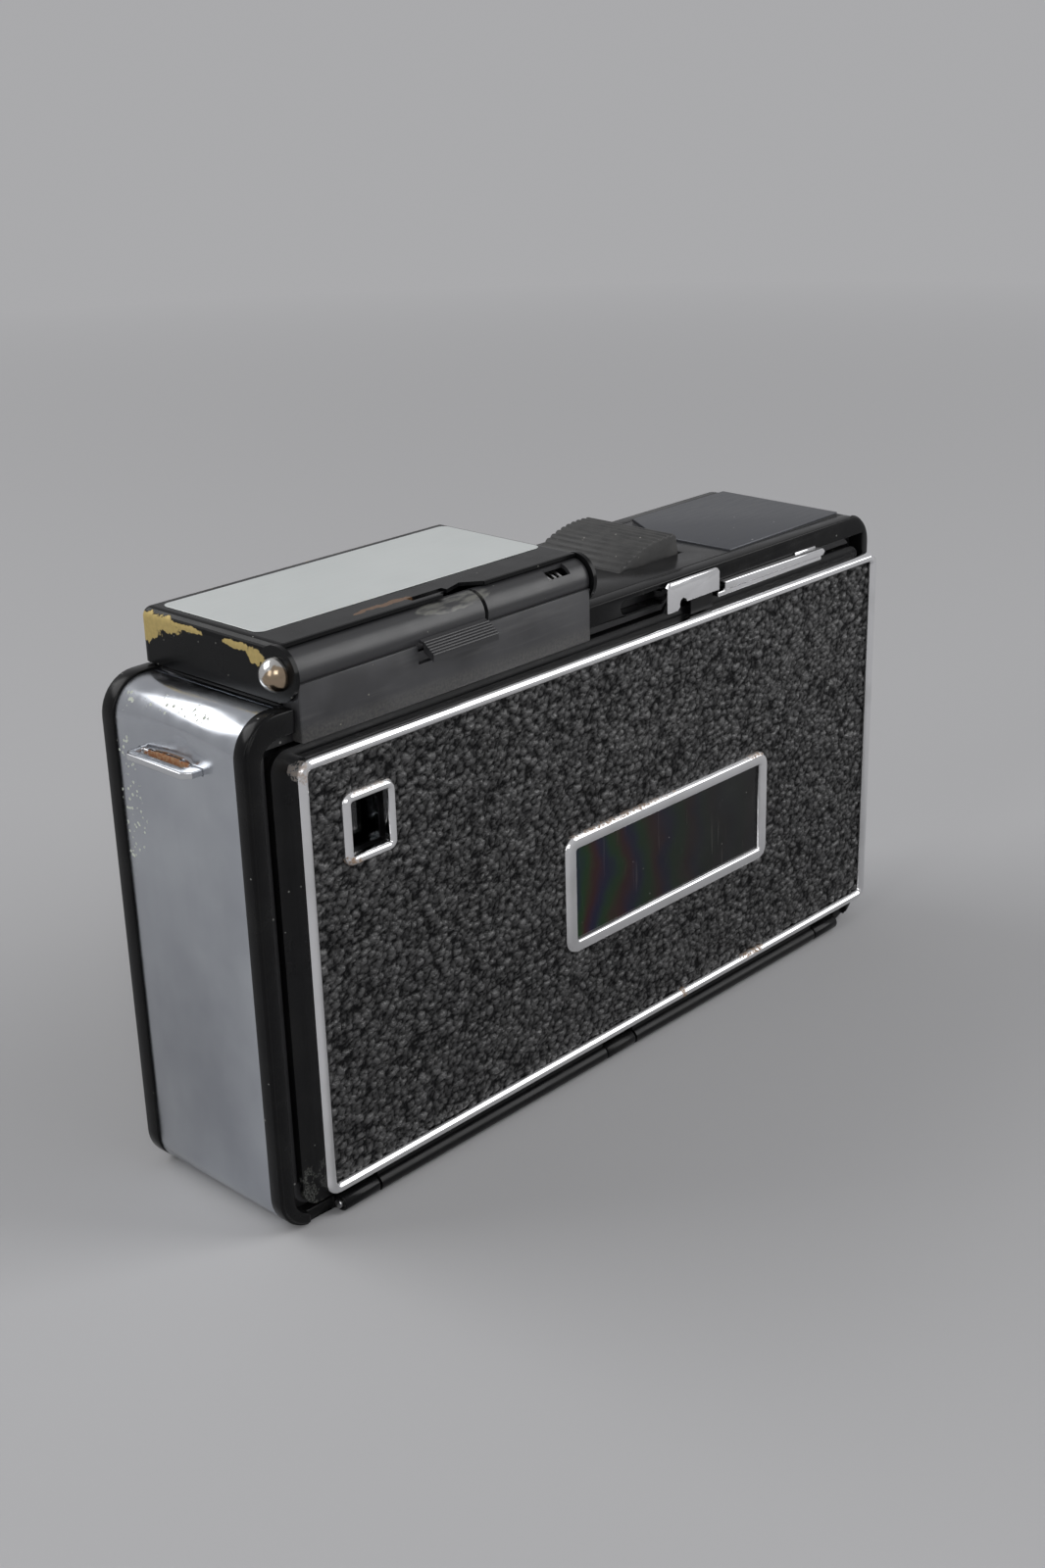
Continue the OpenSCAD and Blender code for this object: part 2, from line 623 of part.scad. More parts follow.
// The space that the lever sweeps in the base, open at the front
module lever_cut(top) {
    translate([takeup_x, pocket_y, -1]) {
        cylinder(r = lever_hub + 0.6, h = top + 1);
        rotate(lever_rest) rotate_extrude(angle = lever_swing) square([lever_reach + 8, top + 1]);
        for (a = [lever_rest, lever_rest + lever_swing]) rotate(a)
            translate([0, -lever_w / 2 - 0.6, 0]) cube([lever_reach + 8, lever_w + 1.2, top + 1]);
    }
}
module advance_lever() color("#c8cbce") translate([takeup_x, pocket_y, 0]) rotate(lever_rest) {
    tip_y = 4.4;
    difference() {
        translate([0, 0, lever_z0]) linear_extrude(lever_t) {
            circle(lever_hub);
            translate([0, -lever_w / 2]) square([lever_reach - 1, lever_w]);
        }
        translate([0, 0, -1]) cylinder(r = 1.2, h = 5);
    }
    // Finger pad, bent up clear of the front rim
    translate([lever_reach - 1, -tip_y, lever_z0]) rotate([90, 0, 90]) linear_extrude(1.2)
        rounded(0, 2 * tip_y, 0, 5.4, 1.4);
}
module lever_screw() color("#8c8f92") translate([takeup_x, pocket_y, 0.1]) difference() {
    union() {
        cylinder(r = 2.4, h = 0.3);
        cylinder(r = 1.2 - fit, h = 2.9);
    }
    block([-3, -0.25, -1], [3, 0.25, 0.15]);
}
module drive_fork() color("#d8d8d4") translate([takeup_x, pocket_y, 0]) {
    difference() {
        translate([0, 0, lever_z0 + lever_t]) cylinder(r = 2, h = chamber_z0 - lever_z0 - lever_t + 0.2);
        cylinder(r = 1.2, h = 3.1);
    }
    translate([0, 0, chamber_z0 + 0.15]) cylinder(r = 4.4, h = 0.8);
    for (a = [0, 120, 240]) rotate(a) block([0.5, -0.6, chamber_z0 + 0.5], [3.8, 0.6, chamber_z0 + 3.2]);
    translate([0, 0, chamber_z0 + 0.5]) cylinder(r1 = 1.6, r2 = 0.8, h = 3.6);
}

// The flash: a pan in the top, the hinge behind it and the lid that carries the reflector
module flash_pan() color("#151515") difference() {
    union() {
        block([barrel_x0, y_b - 0.5, pan_low], [barrel_x1, saddle_y1, pin_z - 0.9]);
        block([barrel_x0, saddle_y1 - 1.2, pan_z], [barrel_x1, pan_y1, body_h - fit]);
    }
    // The barrel's trough, deeper in front of the rear panel
    rightward(barrel_x0 - 1, pin_y, pin_z) cylinder(r = knuckle_r + 0.15, h = lid_w + 2);
    block([barrel_x0 - 1, pin_y - 1.6, pin_z - knuckle_r - 0.25], [barrel_x1 + 1, saddle_y1 + 1, lid_top]);
    // The recess under the reflector, and the relief behind the tab
    block([barrel_x0 + pan_t + 0.6, saddle_y1, pan_z + pan_t], [barrel_x1 - pan_t - 0.6, pan_y1 - pan_t, lid_top]);
    block([barrel_split - tab_w - 0.4, y_b - 1, pin_z - 3.3], [barrel_split + 0.4, pin_y - 2.2, lid_top]);
}
module flash_hinge_pin() color("#c9c3b4") {
    rightward(lid_x0 - 0.1, pin_y, pin_z) cylinder(r = pin_r, h = lid_w + 0.7);
    rightward(lid_x0 - 0.05, pin_y, pin_z) intersection() {
        translate([0, 0, 0.1]) sphere(2.1);
        translate([0, 0, -3]) cylinder(r = 3, h = 3);
    }
    rightward(lid_x1 + fit, pin_y, pin_z) cylinder(r1 = 1.6, r2 = 1.3, h = 0.6);
}
// The fixed half of the barrel, hollow for the spring, with a slot in its top
sleeve_wall = 0.5;
slot_x1 = barrel_x1 - 3;
module spring_sleeve() color("#1a1a1a") difference() {
    rightward(barrel_split + 0.6, pin_y, pin_z) cylinder(r = knuckle_r, h = barrel_x1 - barrel_split - 0.6);
    rightward(barrel_split + 1.8, pin_y, pin_z)
        cylinder(r = knuckle_r - sleeve_wall, h = barrel_x1 - barrel_split - 3);
    rightward(barrel_split, pin_y, pin_z) cylinder(r = pin_r + running, h = 60);
    block([slot_x1 - 4, pin_y - 2.2, pin_z + 1], [slot_x1, pin_y - 0.6, lid_top]);
}
// The lid's torsion spring: one unbroken wire wound round the pin
spring_wire = 0.2;
spring_r = 1.6;
spring_turns = 10;
spring_pitch = 1;
spring_steps = 8;
spring_x0 = slot_x1 - spring_turns * spring_pitch;
function spring_point(i) = let (a = i * 360 / spring_steps)
    [spring_x0 + i * spring_pitch / spring_steps, pin_y + spring_r * cos(a), pin_z + spring_r * sin(a)];
function ring_at(i) = let (a = i * 360 / spring_steps)
    [for (k = [0:5]) spring_point(i)
        + spring_wire * (cos(60 * k) * [0, cos(a), sin(a)] + sin(60 * k) * [1, 0, 0])];
spring_count = spring_turns * spring_steps;
echo(lid_spring_gap = min([for (i = [0:spring_count - spring_steps], j = [i + spring_steps / 2 + 1:spring_count])
    norm(spring_point(i) - spring_point(j))]) - 2 * spring_wire);
module lid_spring() color("#b9bcc0") {
    n = spring_count;
    points = [for (i = [0:n]) each ring_at(i)];
    sides = [for (i = [0:n - 1], k = [0:5], t = [0, 1]) let (a = 6 * i + k, b = 6 * i + (k + 1) % 6)
        t == 0 ? [a, b, b + 6] : [a, b + 6, a + 6]];
    ends = [for (k = [1:4]) each [[0, k + 1, k], [6 * n, 6 * n + k, 6 * n + k + 1]]];
    polyhedron(points, concat(sides, ends), convexity = 4);
}
// The half of the barrel that the ribbed tab turns, to push out a used bulb
tab_ribs = 6;
tab_root = [-knuckle_r - 0.35, -0.55];
tab_tip = [-knuckle_r - 2.2, -2];
module ejector_sleeve() color("#1a1a1a") difference() {
    union() {
        rightward(barrel_x0, pin_y, pin_z) cylinder(r = knuckle_r, h = barrel_split - barrel_x0);
        translate([barrel_split - tab_w, 0, 0]) rotate([90, 0, 90]) linear_extrude(tab_w)
            translate([pin_y, pin_z]) {
                polygon([[-knuckle_r + 0.5, -0.1], tab_root, tab_tip, tab_tip - [0, 0.7],
                    [-knuckle_r - 0.6, -1.9], [-knuckle_r - 0.5, -0.8], [-knuckle_r + 0.5, -0.75]]);
                for (i = [0:tab_ribs - 1]) translate(tab_root + (tab_tip - tab_root) * (i + 0.5) / tab_ribs)
                    circle(0.2, $fn = 16);
            }
    }
    rightward(barrel_x0 - 1, pin_y, pin_z) cylinder(r = pin_r + running, h = lid_w);
}
module lid_shell() color("#17181a") difference() {
    union() {
        difference() {
            hull() {
                for (x = [lid_x0 + lid_edge_r, lid_x1 - lid_edge_r], y = [lid_y0 + 0.4, lid_y1 - lid_edge_r])
                    translate([x, y, lid_top - lid_edge_r]) sphere(lid_edge_r, $fn = 32);
                for (x = [lid_x0 + lid_edge_r, lid_x1 - lid_edge_r])
                    translate([x, lid_y1 - lid_edge_r, lid_z0]) cylinder(r = lid_edge_r, h = 1, $fn = 32);
                block([lid_x0, lid_y0, lid_z0], [lid_x1, lid_y0 + 1, lid_top - lid_edge_r]);
            }
            block([lid_x0 + ear_t, lid_y0 - 5, lid_z0 - 1], [lid_x1 - ear_t, lid_y1 - lid_t, lid_top - lid_t]);
            block([lid_x0 - 1, lid_y0 - 3, 0], [lid_x1 + 1, lid_y0, lid_top + 1]);
        }
        for (x = [lid_x0, lid_x1 - ear_t]) difference() {
            rightward(x, pin_y, pin_z) cylinder(r = ear_r - 0.05, h = ear_t);
            block([x - 1, lid_y0 - 9, 0], [x + 2, lid_y1, lid_z0]);
        }
    }
    rightward(lid_x0 - 1, pin_y, pin_z) cylinder(r = pin_r + running, h = lid_w + 2);
    // Notch and slot over the ejector, at the lid's rear edge
    translate([barrel_split - 2.2, lid_y0 - 1, lid_top - 2]) linear_extrude(4)
        polygon([[-2.6, 0], [4.6, 0], [4.6, 1.2], [2.2, 3.1], [-2.6, 1.6]]);
    block([barrel_split - 9, lid_y0 + 0.9, lid_top - 2], [barrel_split - 3, lid_y0 + 2.1, lid_top + 1]);
}
plate_in_left = 1.8;
plate_in_right = 1.4;
plate_y0 = lid_y0 + 5.3;
plate_y1 = lid_y1 - 2.1;
module lid_plate() color("#b4b7ba") translate([0, 0, lid_top]) linear_extrude(0.25)
    rounded(lid_x0 + plate_in_left, lid_x1 - plate_in_right, plate_y0, plate_y1, 1.2);
// A pressed dish that fills the lid, with the bulb's socket at its middle
module reflector() color("#d9dadb") {
    x0 = lid_x0 + ear_t + 0.3;
    x1 = lid_x1 - ear_t - 0.3;
    y0 = saddle_y1 + 0.5;
    y1 = lid_y1 - lid_t - 0.3;
    difference() {
        intersection() {
            block([x0, y0, bowl_edge], [x1, y1, lid_top - lid_t - 0.1]);
            translate([socket_x, socket_y, bowl_edge + bowl_depth - bowl_r]) sphere(bowl_r + bowl_t);
        }
        translate([socket_x, socket_y, bowl_edge + bowl_depth - bowl_r]) sphere(bowl_r);
        translate([socket_x, socket_y, 0]) cylinder(r = socket_r + fit, h = 100);
    }
    difference() {
        block([x0, y0, bowl_edge], [x1, y1, bowl_edge + 0.4]);
        translate([socket_x, socket_y, bowl_edge + bowl_depth - bowl_r]) sphere(bowl_r);
    }
    // Posts that the dish hangs on
    for (x = [x0 + 2, x1 - 3.2]) block([x, y0 + 1, bowl_edge + 0.3], [x + 1.2, y0 + 2.2, lid_top - lid_t]);
    for (x = [x0 + 2, x1 - 3.2]) block([x, y1 - 2.2, bowl_edge + 0.3], [x + 1.2, y1 - 1, lid_top - lid_t]);
}
socket_z0 = lid_z0 - 1.6;
socket_depth = 6;
module bulb_socket() color("#2b2b2b") translate([socket_x, socket_y, 0]) difference() {
    translate([0, 0, socket_z0]) cylinder(r = socket_r, h = lid_top - lid_t - socket_z0);
    block([-bulb_base[0] / 2, -bulb_base[1] / 2, socket_z0 - 1],
        [bulb_base[0] / 2, bulb_base[1] / 2, socket_z0 + socket_depth]);
}
module bulb_contacts() color("#b08d4a") for (s = [-1, 1]) translate([socket_x + s * 2, socket_y, 0])
    block([-0.8, bulb_base[1] / 2 - 0.35, socket_z0 + 0.8], [0.8, bulb_base[1] / 2, socket_z0 + socket_depth]);

// The flash battery, with a sprung leaf contact at each end
module flash_battery() color("#7d8083") translate([battery_x, battery_y, bay_z0 + 1]) {
    cylinder(r = battery_r, h = battery_h - 1.2);
    cylinder(r = 2.6, h = battery_h);
}
module battery_contacts() color("#b08d4a") translate([battery_x, battery_y, 0]) {
    translate([0, 0, bay_z0]) cylinder(r = 3.5, h = 0.3);
    translate([0, 0, bay_z0]) cylinder(r1 = 2.2, r2 = 1.2, h = 0.95);
    translate([0, 0, bay_z1 - 0.3]) cylinder(r = 3.5, h = 0.3);
    translate([0, 0, bay_z1 - 1.95]) cylinder(r1 = 1.2, r2 = 2.2, h = 1.95);
}

// The shutter key: a ribbed wedge that turns about a pin at its low end
key_peak = key_x1 - 2.8;
key_base = body_h - 0.2;
key_curve = (pow(key_peak - key_x0, 2) + pow(key_rise + 0.2, 2)) / (2 * (key_rise + 0.2));
function key_top(x) = key_base + key_rise + 0.2 - key_curve + sqrt(pow(key_curve, 2) - pow(key_peak - x, 2));
module shutter_key() color("#2e2f31") difference() {
    pitch = (key_x1 - 0.6 - key_x0 - 0.5) / key_ribs;
    points = [for (i = [0:key_ribs - 1], s = [0, 0.28, 0.5, 0.72]) let (x = key_x0 + 0.5 + (i + s) * pitch)
        [x, key_top(x) - (s == 0 ? 0.3 : (s == 0.5 ? 0 : 0.08))]];
    slab(key_y0, key_y1) polygon(concat([[key_x0, key_base - 1.6], [key_x0, key_base]], points,
        [[key_x1 - 0.5, key_top(key_x1) - 0.3], [key_x1, key_base], [key_x1, key_under - 1.4],
        [key_x1 - key_wall, key_under - 1.4], [key_x1 - key_wall, key_under], [key_axis[0] + 1.6, key_under],
        [key_axis[0] + 1, key_base - 2.2]]));
    forward(key_axis[0], key_y0 - 1, key_axis[1]) cylinder(r = 0.5 + running, h = key_y1 - key_y0 + 2);
}
module key_pivot_pin() color("#b9bcc0")
    forward(key_axis[0], key_y0 - key_gap, key_axis[1]) cylinder(r = 0.5, h = y_band1 - key_y0 + key_gap);
module release_rod() color("#d9d6cc") translate([rod_x, rod_y, 0]) {
    translate([0, 0, rod_z0]) cylinder(r = rod_r, h = rod_head_z - rod_head_r - rod_z0);
    intersection() {
        translate([0, 0, rod_head_z - rod_head_r]) sphere(rod_head_r);
        translate([0, 0, rod_head_z - 1]) cylinder(r = rod_head_r, h = 1);
    }
    translate([0, 0, rod_head_z - rod_head_r - 0.1]) cylinder(r = rod_r, h = rod_head_r - 0.5);
}

// The back door: a pressed panel with skirts, hung on a pin along its lower edge
module door_hinge_pin() color("#b9bcc0")
    rightward(hinge_ears[0] - 0.4, hinge_y, hinge_z)
        cylinder(r = hinge_pin_r, h = hinge_ears[2] + hinge_ear + 0.8 - hinge_ears[0]);
module door_field(y0, y1, x1, inset, r)
    slab(y0, y1) rounded(trim_x0 + inset, x1, trim_z0 + inset, trim_z1 - inset, r);
module door_panel() color("#1c1c1d") difference() {
    union() {
        // The pressed field that carries the leatherette, and the flange round it
        door_field(panel_y0, y_b - 0.06, trim_x1 - 0.1, trim_skin + fit, trim_r - trim_skin);
        difference() {
            union() {
                door_field(panel_y0, flange_y1, door_x1, trim_skin + fit, trim_r - trim_skin);
                slab(flange_y0, flange_y1) rounded(door_x0, door_x1, door_z0, door_z1, door_r);
            }
            door_field(panel_y1, flange_y1 + 1, door_x1 - 1.2, 1.8, 1);
        }
        for (x = [door_x0, door_x1 - skirt_t])
            block([x, flange_y0, 10], [x + skirt_t, skirt_y, door_z1 - door_r]);
        block([door_x0 + door_r, flange_y0, door_z1 - skirt_t], [door_x1 - door_r, skirt_y, door_z1]);
        for (i = [0, 1]) {
            x0 = hinge_ears[i] + hinge_ear + 0.25;
            x1 = hinge_ears[i + 1] - 0.25;
            rightward(x0, hinge_y, hinge_z) cylinder(r = hinge_knuckle_r, h = x1 - x0);
            block([x0, panel_y0, hinge_z], [x1, panel_y1, trim_z0 - 0.05]);
            block([x0, panel_y0 + 0.3, door_z0 + 0.1], [x1, flange_y1, trim_z0 - 0.05]);
        }
        // Keeper that stands up behind the latch
        keeper_x1 = latch_x0 + latch_w - 0.6;
        block([keeper_x1 - keeper_w, y_b - 0.5, trim_z1 + 0.1], [keeper_x1, flange_y1, door_z1]);
        block([keeper_x1 - keeper_w, y_b - 0.5, door_z1 - 0.1], [keeper_x1, y_b - 0.1, door_z1 + 2.2]);
    }
    slab(panel_y0 - 1, panel_y1 + 1) {
        rounded(window_x - window_w / 2 + 1.6, window_x + window_w / 2 - 1.6, window_z - window_h / 2 + 1.6,
            window_z + window_h / 2 - 1.6, 0.6);
        rounded(eye_x - eye_w / 2 + eye_wall, eye_x + eye_w / 2 - eye_wall, eye_z - eye_side / 2 + eye_wall,
            eye_z + eye_side / 2 - eye_wall, 0.4);
    }
    rightward(hinge_ears[0], hinge_y, hinge_z) cylinder(r = hinge_pin_r + running, h = body_w);
}
// The trim: a round-topped bead whose outer wall goes down to the flange
module door_trim() color("#d5d7d9") {
    half = trim_w / 2;
    trim_run(half) {
        intersection() {
            translate([0, trim_out - half]) circle(half);
            translate([-half, 0]) square([trim_w, trim_out]);
        }
        translate([-half, 0]) square([trim_w, trim_out - half]);
    }
    difference() {
        trim_run(half) translate([half - trim_skin, panel_y0 - flange_y0])
            square([trim_skin, flange_y0 - panel_y0 + 0.1]);
        block([door_x1, y_b - 0.65, 0], [x_r + 1, y_f, body_h]);
    }
}
module trim_run(half) on_rear(panel_y0)
    frame_run(trim_x0 + half, trim_x1 - half, trim_z0 + half, trim_z1 - half, trim_r - half) children();
module door_leatherette() color("#232324") slab(panel_y0 - leather_t, panel_y0) difference() {
    rounded(trim_x0 + trim_w + fit, trim_x1 - trim_w - fit, trim_z0 + trim_w + fit, trim_z1 - trim_w - fit, 0.5);
    translate([window_x - window_w / 2 - fit, window_z - window_h / 2 - fit]) square([window_w + 2 * fit, window_h + 2 * fit]);
    translate([eye_x - eye_w / 2 - fit, eye_z - eye_side / 2 - fit]) square([eye_w + 2 * fit, eye_side + 2 * fit]);
}
module film_window_frame() color("#d5d7d9")
    window_trim(window_x - window_w / 2, window_x + window_w / 2, window_z - window_h / 2, window_z + window_h / 2,
        window_wall, frame_out);
module film_window_glass() color("#20262b", 0.5)
    block([window_x - window_w / 2 + window_wall + fit, panel_y0 - 0.7, window_z - window_h / 2 + window_wall + fit],
        [window_x + window_w / 2 - window_wall - fit, panel_y1, window_z + window_h / 2 - window_wall - fit]);
module eyepiece_frame() color("#d5d7d9")
    window_trim(eye_x - eye_w / 2, eye_x + eye_w / 2, eye_z - eye_side / 2, eye_z + eye_side / 2, eye_wall, frame_out);
module window_seal() color("#0e0e0e") slab(panel_y1, panel_y1 + 0.8) difference() {
    rounded(window_x - window_w / 2 - 1, window_x + window_w / 2 + 1, window_z - window_h / 2 - 1, window_z + window_h / 2 + 1, 1);
    rounded(window_x - window_w / 2 + 1.6, window_x + window_w / 2 - 1.6, window_z - window_h / 2 + 1.6,
        window_z + window_h / 2 - 1.6, 0.6);
}
// A bowed leaf that presses the cartridge forward
module cartridge_spring() color("#b9bcc0") {
    leaf_x = supply_x - 3;
    leaf_z = (chamber_z0 + chamber_z1) / 2;
    bow = 70;
    rightward(leaf_x, panel_y1 + 1.6 - bow, leaf_z) intersection() {
        difference() {
            cylinder(r = bow, h = 6);
            translate([0, 0, -1]) cylinder(r = bow - 0.3, h = 8);
        }
        block([-13, 0, -1], [13, bow + 1, 8]);
    }
    block([leaf_x, panel_y1, leaf_z - 1.5], [leaf_x + 6, panel_y1 + 1.4, leaf_z + 1.5]);
}
// The latch: a tab that slides along the top bar and covers the door's keeper
module door_latch() color("#d5d7d9") {
    z0 = door_z1 + 0.2;
    z1 = z0 + latch_h;
    slab(latch_y, latch_y + latch_t) difference() {
        polygon([[latch_x0, z0 + 0.2], [latch_x0 + 2.2, z0 + 0.2], [latch_x0 + 3.4, z0 + 1.1],
            [latch_x0 + latch_w, z0 + 1.1], [latch_x0 + latch_w, z1 - 0.5], [latch_x0 + latch_w - 0.5, z1],
            [latch_x0 + 0.6, z1], [latch_x0, z1 - 0.6]]);
        translate([latch_x0 + 3.4, z0 + 1]) circle(0.75);
    }
    block([latch_x0, latch_y, z0 + 0.2], [latch_x0 + latch_t, y_b - 0.1, z1 - 0.8]);
    block([latch_x0, latch_y, slot_z0 + 0.25], [latch_x0 + latch_t, y_b + 1.2, slot_z0 + slot_h - 0.25]);
}
// The leaf that presses on the door's edge and throws the door open, riveted at its right end
leaf_x0 = latch_x0 + latch_w + 0.15;
leaf_x1 = leaf_x0 + leaf_len;
leaf_h = 1.1;
module door_leaf() color("#d5d7d9") {
    low = door_z1 + 0.15;
    high = low + leaf_h - 0.35;
    slab(latch_y, y_b - 0.15) polygon([[leaf_x0 + 1.2, high + 0.1], [leaf_x1 - 0.5, high], [leaf_x1, high + 0.4],
        [leaf_x1, high + leaf_h - 0.4], [leaf_x1 - 0.5, high + leaf_h], [leaf_x0 + 1.2, high + leaf_h + 0.15]]);
    slab(latch_y + 0.35, y_b - 0.15) {
        translate([leaf_x0, low]) square([leaf_len - 0.4, leaf_h - 0.45]);
        translate([leaf_x0 + 1.4, low + 0.3]) square([1.2, leaf_h]);
    }
    block([leaf_x1 - 6, y_b - 0.3, lip_z1 + 0.35], [leaf_x1 - 1, y_b, lip_z1 + 0.9]);
}

left_housing();
film_chamber();
chamber_floor();
top_deck();
front_rim();
rear_rim();
left_band();
base_plate();
right_band();
strap_lug();
top_cover();
top_inlay();
front_panel();
front_leatherette();
lens_barrel();
lens_front_ring();
front_lens();
rear_lens();
setting_ring();
ring_retainer();
shutter_plate();
shutter_blade();
blade_pivot();
film_gate();
gate_screws();
film_feeler();
finder_frame();
finder_lens();
eyepiece_lens();
tripod_bush();
base_screws();
advance_lever();
lever_screw();
drive_fork();
flash_pan();
flash_hinge_pin();
spring_sleeve();
lid_spring();
ejector_sleeve();
lid_shell();
lid_plate();
reflector();
bulb_socket();
bulb_contacts();
flash_battery();
battery_contacts();
shutter_key();
key_pivot_pin();
release_rod();
door_hinge_pin();
door_panel();
door_trim();
door_leatherette();
film_window_frame();
film_window_glass();
eyepiece_frame();
window_seal();
cartridge_spring();
door_latch();
door_leaf();
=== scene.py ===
"""Looks of a cartridge film camera with a folding flash, seen from behind and above."""
import json
import math

import bmesh
import bpy
from mathutils import Matrix, Vector, noise

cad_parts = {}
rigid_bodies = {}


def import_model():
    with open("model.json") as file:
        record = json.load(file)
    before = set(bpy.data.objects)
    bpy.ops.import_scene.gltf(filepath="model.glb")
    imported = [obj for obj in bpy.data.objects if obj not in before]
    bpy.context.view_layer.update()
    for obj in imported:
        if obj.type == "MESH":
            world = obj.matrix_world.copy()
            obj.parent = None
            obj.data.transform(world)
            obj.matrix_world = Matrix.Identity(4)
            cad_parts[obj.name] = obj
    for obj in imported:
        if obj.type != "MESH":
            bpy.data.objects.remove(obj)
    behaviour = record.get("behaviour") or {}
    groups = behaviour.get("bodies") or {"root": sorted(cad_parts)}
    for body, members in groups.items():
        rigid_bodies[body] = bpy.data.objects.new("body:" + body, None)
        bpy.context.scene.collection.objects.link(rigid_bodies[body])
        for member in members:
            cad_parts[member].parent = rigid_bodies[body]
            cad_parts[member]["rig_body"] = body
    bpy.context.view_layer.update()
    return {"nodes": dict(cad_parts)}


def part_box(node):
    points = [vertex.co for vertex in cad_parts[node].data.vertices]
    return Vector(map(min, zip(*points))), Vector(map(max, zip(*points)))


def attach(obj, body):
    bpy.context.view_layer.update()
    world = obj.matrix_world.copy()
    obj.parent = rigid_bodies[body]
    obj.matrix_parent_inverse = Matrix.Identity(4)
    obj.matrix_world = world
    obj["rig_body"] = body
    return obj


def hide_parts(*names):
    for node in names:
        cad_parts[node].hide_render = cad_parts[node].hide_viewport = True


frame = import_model()
NODES = frame["nodes"]
MM = 0.001


# View and studio

VIEW_PLACE = (-0.18886, -0.17854, 0.14127)
VIEW_RIGHT = (0.6835, -0.72945, -0.02686)
VIEW_UP = (0.28657, 0.23431, 0.92897)
VIEW_BACK = (-0.67134, -0.64265, 0.36919)
FOCAL_LENGTH = 45.68
SENSOR_WIDTH = 36
NEAREST_SEEN = 0.01

FLOOR_WIDTH = 60.0
FLOOR_DROP = 0.1 * MM
FLOOR = (0.56, 0.56, 0.57, 1)
# Distances from the object between which the floor fades into the backdrop
FADE_START, FADE_END = 0.22, 0.80
BACKDROP = (0.40, 0.40, 0.41, 1)
HIGH_BACKDROP = (0.46, 0.46, 0.47, 1)
# Light that the world gives to surfaces, where it isn't mirrored
FILL = (0.24, 0.24, 0.245, 1)

LAMP_TARGET = (0.0, 0.0, 0.035)
# Place, width, height and power in watts of each softbox
SOFTBOXES = {
    "front_box": ((-0.36, 0.60, 0.66), 0.70, 0.45, 3.0),
    "left_box": ((-0.75, -0.05, 0.34), 0.25, 0.40, 0.6),
    "right_box": ((0.58, -0.60, 0.50), 0.50, 0.85, 4.0),
    "rear_box": ((-0.62, -0.62, 0.52), 0.36, 0.36, 1.3),
}


def add_view():
    """Puts the view where the photograph was taken from."""
    data = bpy.data.cameras.new("camera")
    data.lens = FOCAL_LENGTH
    data.sensor_width = SENSOR_WIDTH
    data.clip_start = NEAREST_SEEN
    view = bpy.data.objects.new("camera", data)
    turn = Matrix((VIEW_RIGHT, VIEW_UP, VIEW_BACK)).transposed().to_4x4()
    view.matrix_world = Matrix.Translation(VIEW_PLACE) @ turn
    bpy.context.scene.collection.objects.link(view)
    bpy.context.scene.camera = view


def add_softbox(name, place, width, height, power):
    """Adds a rectangular lamp that faces the object."""
    data = bpy.data.lights.new(name, "AREA")
    data.shape = "RECTANGLE"
    data.size = width
    data.size_y = height
    data.energy = power
    lamp = bpy.data.objects.new(name, data)
    lamp.location = place
    lamp.rotation_euler = (Vector(LAMP_TARGET) - Vector(place)).to_track_quat("-Z", "Y").to_euler()
    bpy.context.scene.collection.objects.link(lamp)


def add_world():
    """Adds the backdrop, a little paler above, and the fill light."""
    world = bpy.data.worlds.new("studio")
    world.use_nodes = True
    bpy.context.scene.world = world
    graph = Graph(world.node_tree)
    direction = graph.add("ShaderNodeTexCoord").outputs["Generated"]
    height = graph.ramp(graph.axes(direction)["Z"], 0.0, 0.5)
    seen = graph.mix(height, BACKDROP, HIGH_BACKDROP)
    background = world.node_tree.nodes["Background"]
    graph.join(graph.mix(seen_ray(graph), FILL, seen), background.inputs["Color"])


def add_studio():
    """Adds the floor, the world and the lamps."""
    ground = grid_mesh(FLOOR_WIDTH, FLOOR_WIDTH, 1, 1)
    bmesh.ops.translate(ground, vec=(0, 0, -FLOOR_DROP), verts=ground.verts)
    floor = finish_mesh("floor", ground)
    floor.data.materials.append(floor_material())
    add_world()
    for name, (place, width, height, power) in SOFTBOXES.items():
        add_softbox(name, place, width, height, power)
    bpy.context.scene.view_settings.view_transform = "Standard"


def seen_ray(graph):
    """1 for the rays that show the backdrop: straight to the view, mirrored or through glass."""
    ray = graph.add("ShaderNodeLightPath").outputs
    return graph.strongest([ray["Is Camera Ray"], ray["Is Glossy Ray"], ray["Is Transmission Ray"]])


# Short ways to build node trees

# Places of the first value, the second value and the result on a Mix node
MIX_COLOURS = (6, 7, 2)
MIX_VALUES = (2, 3, 0)


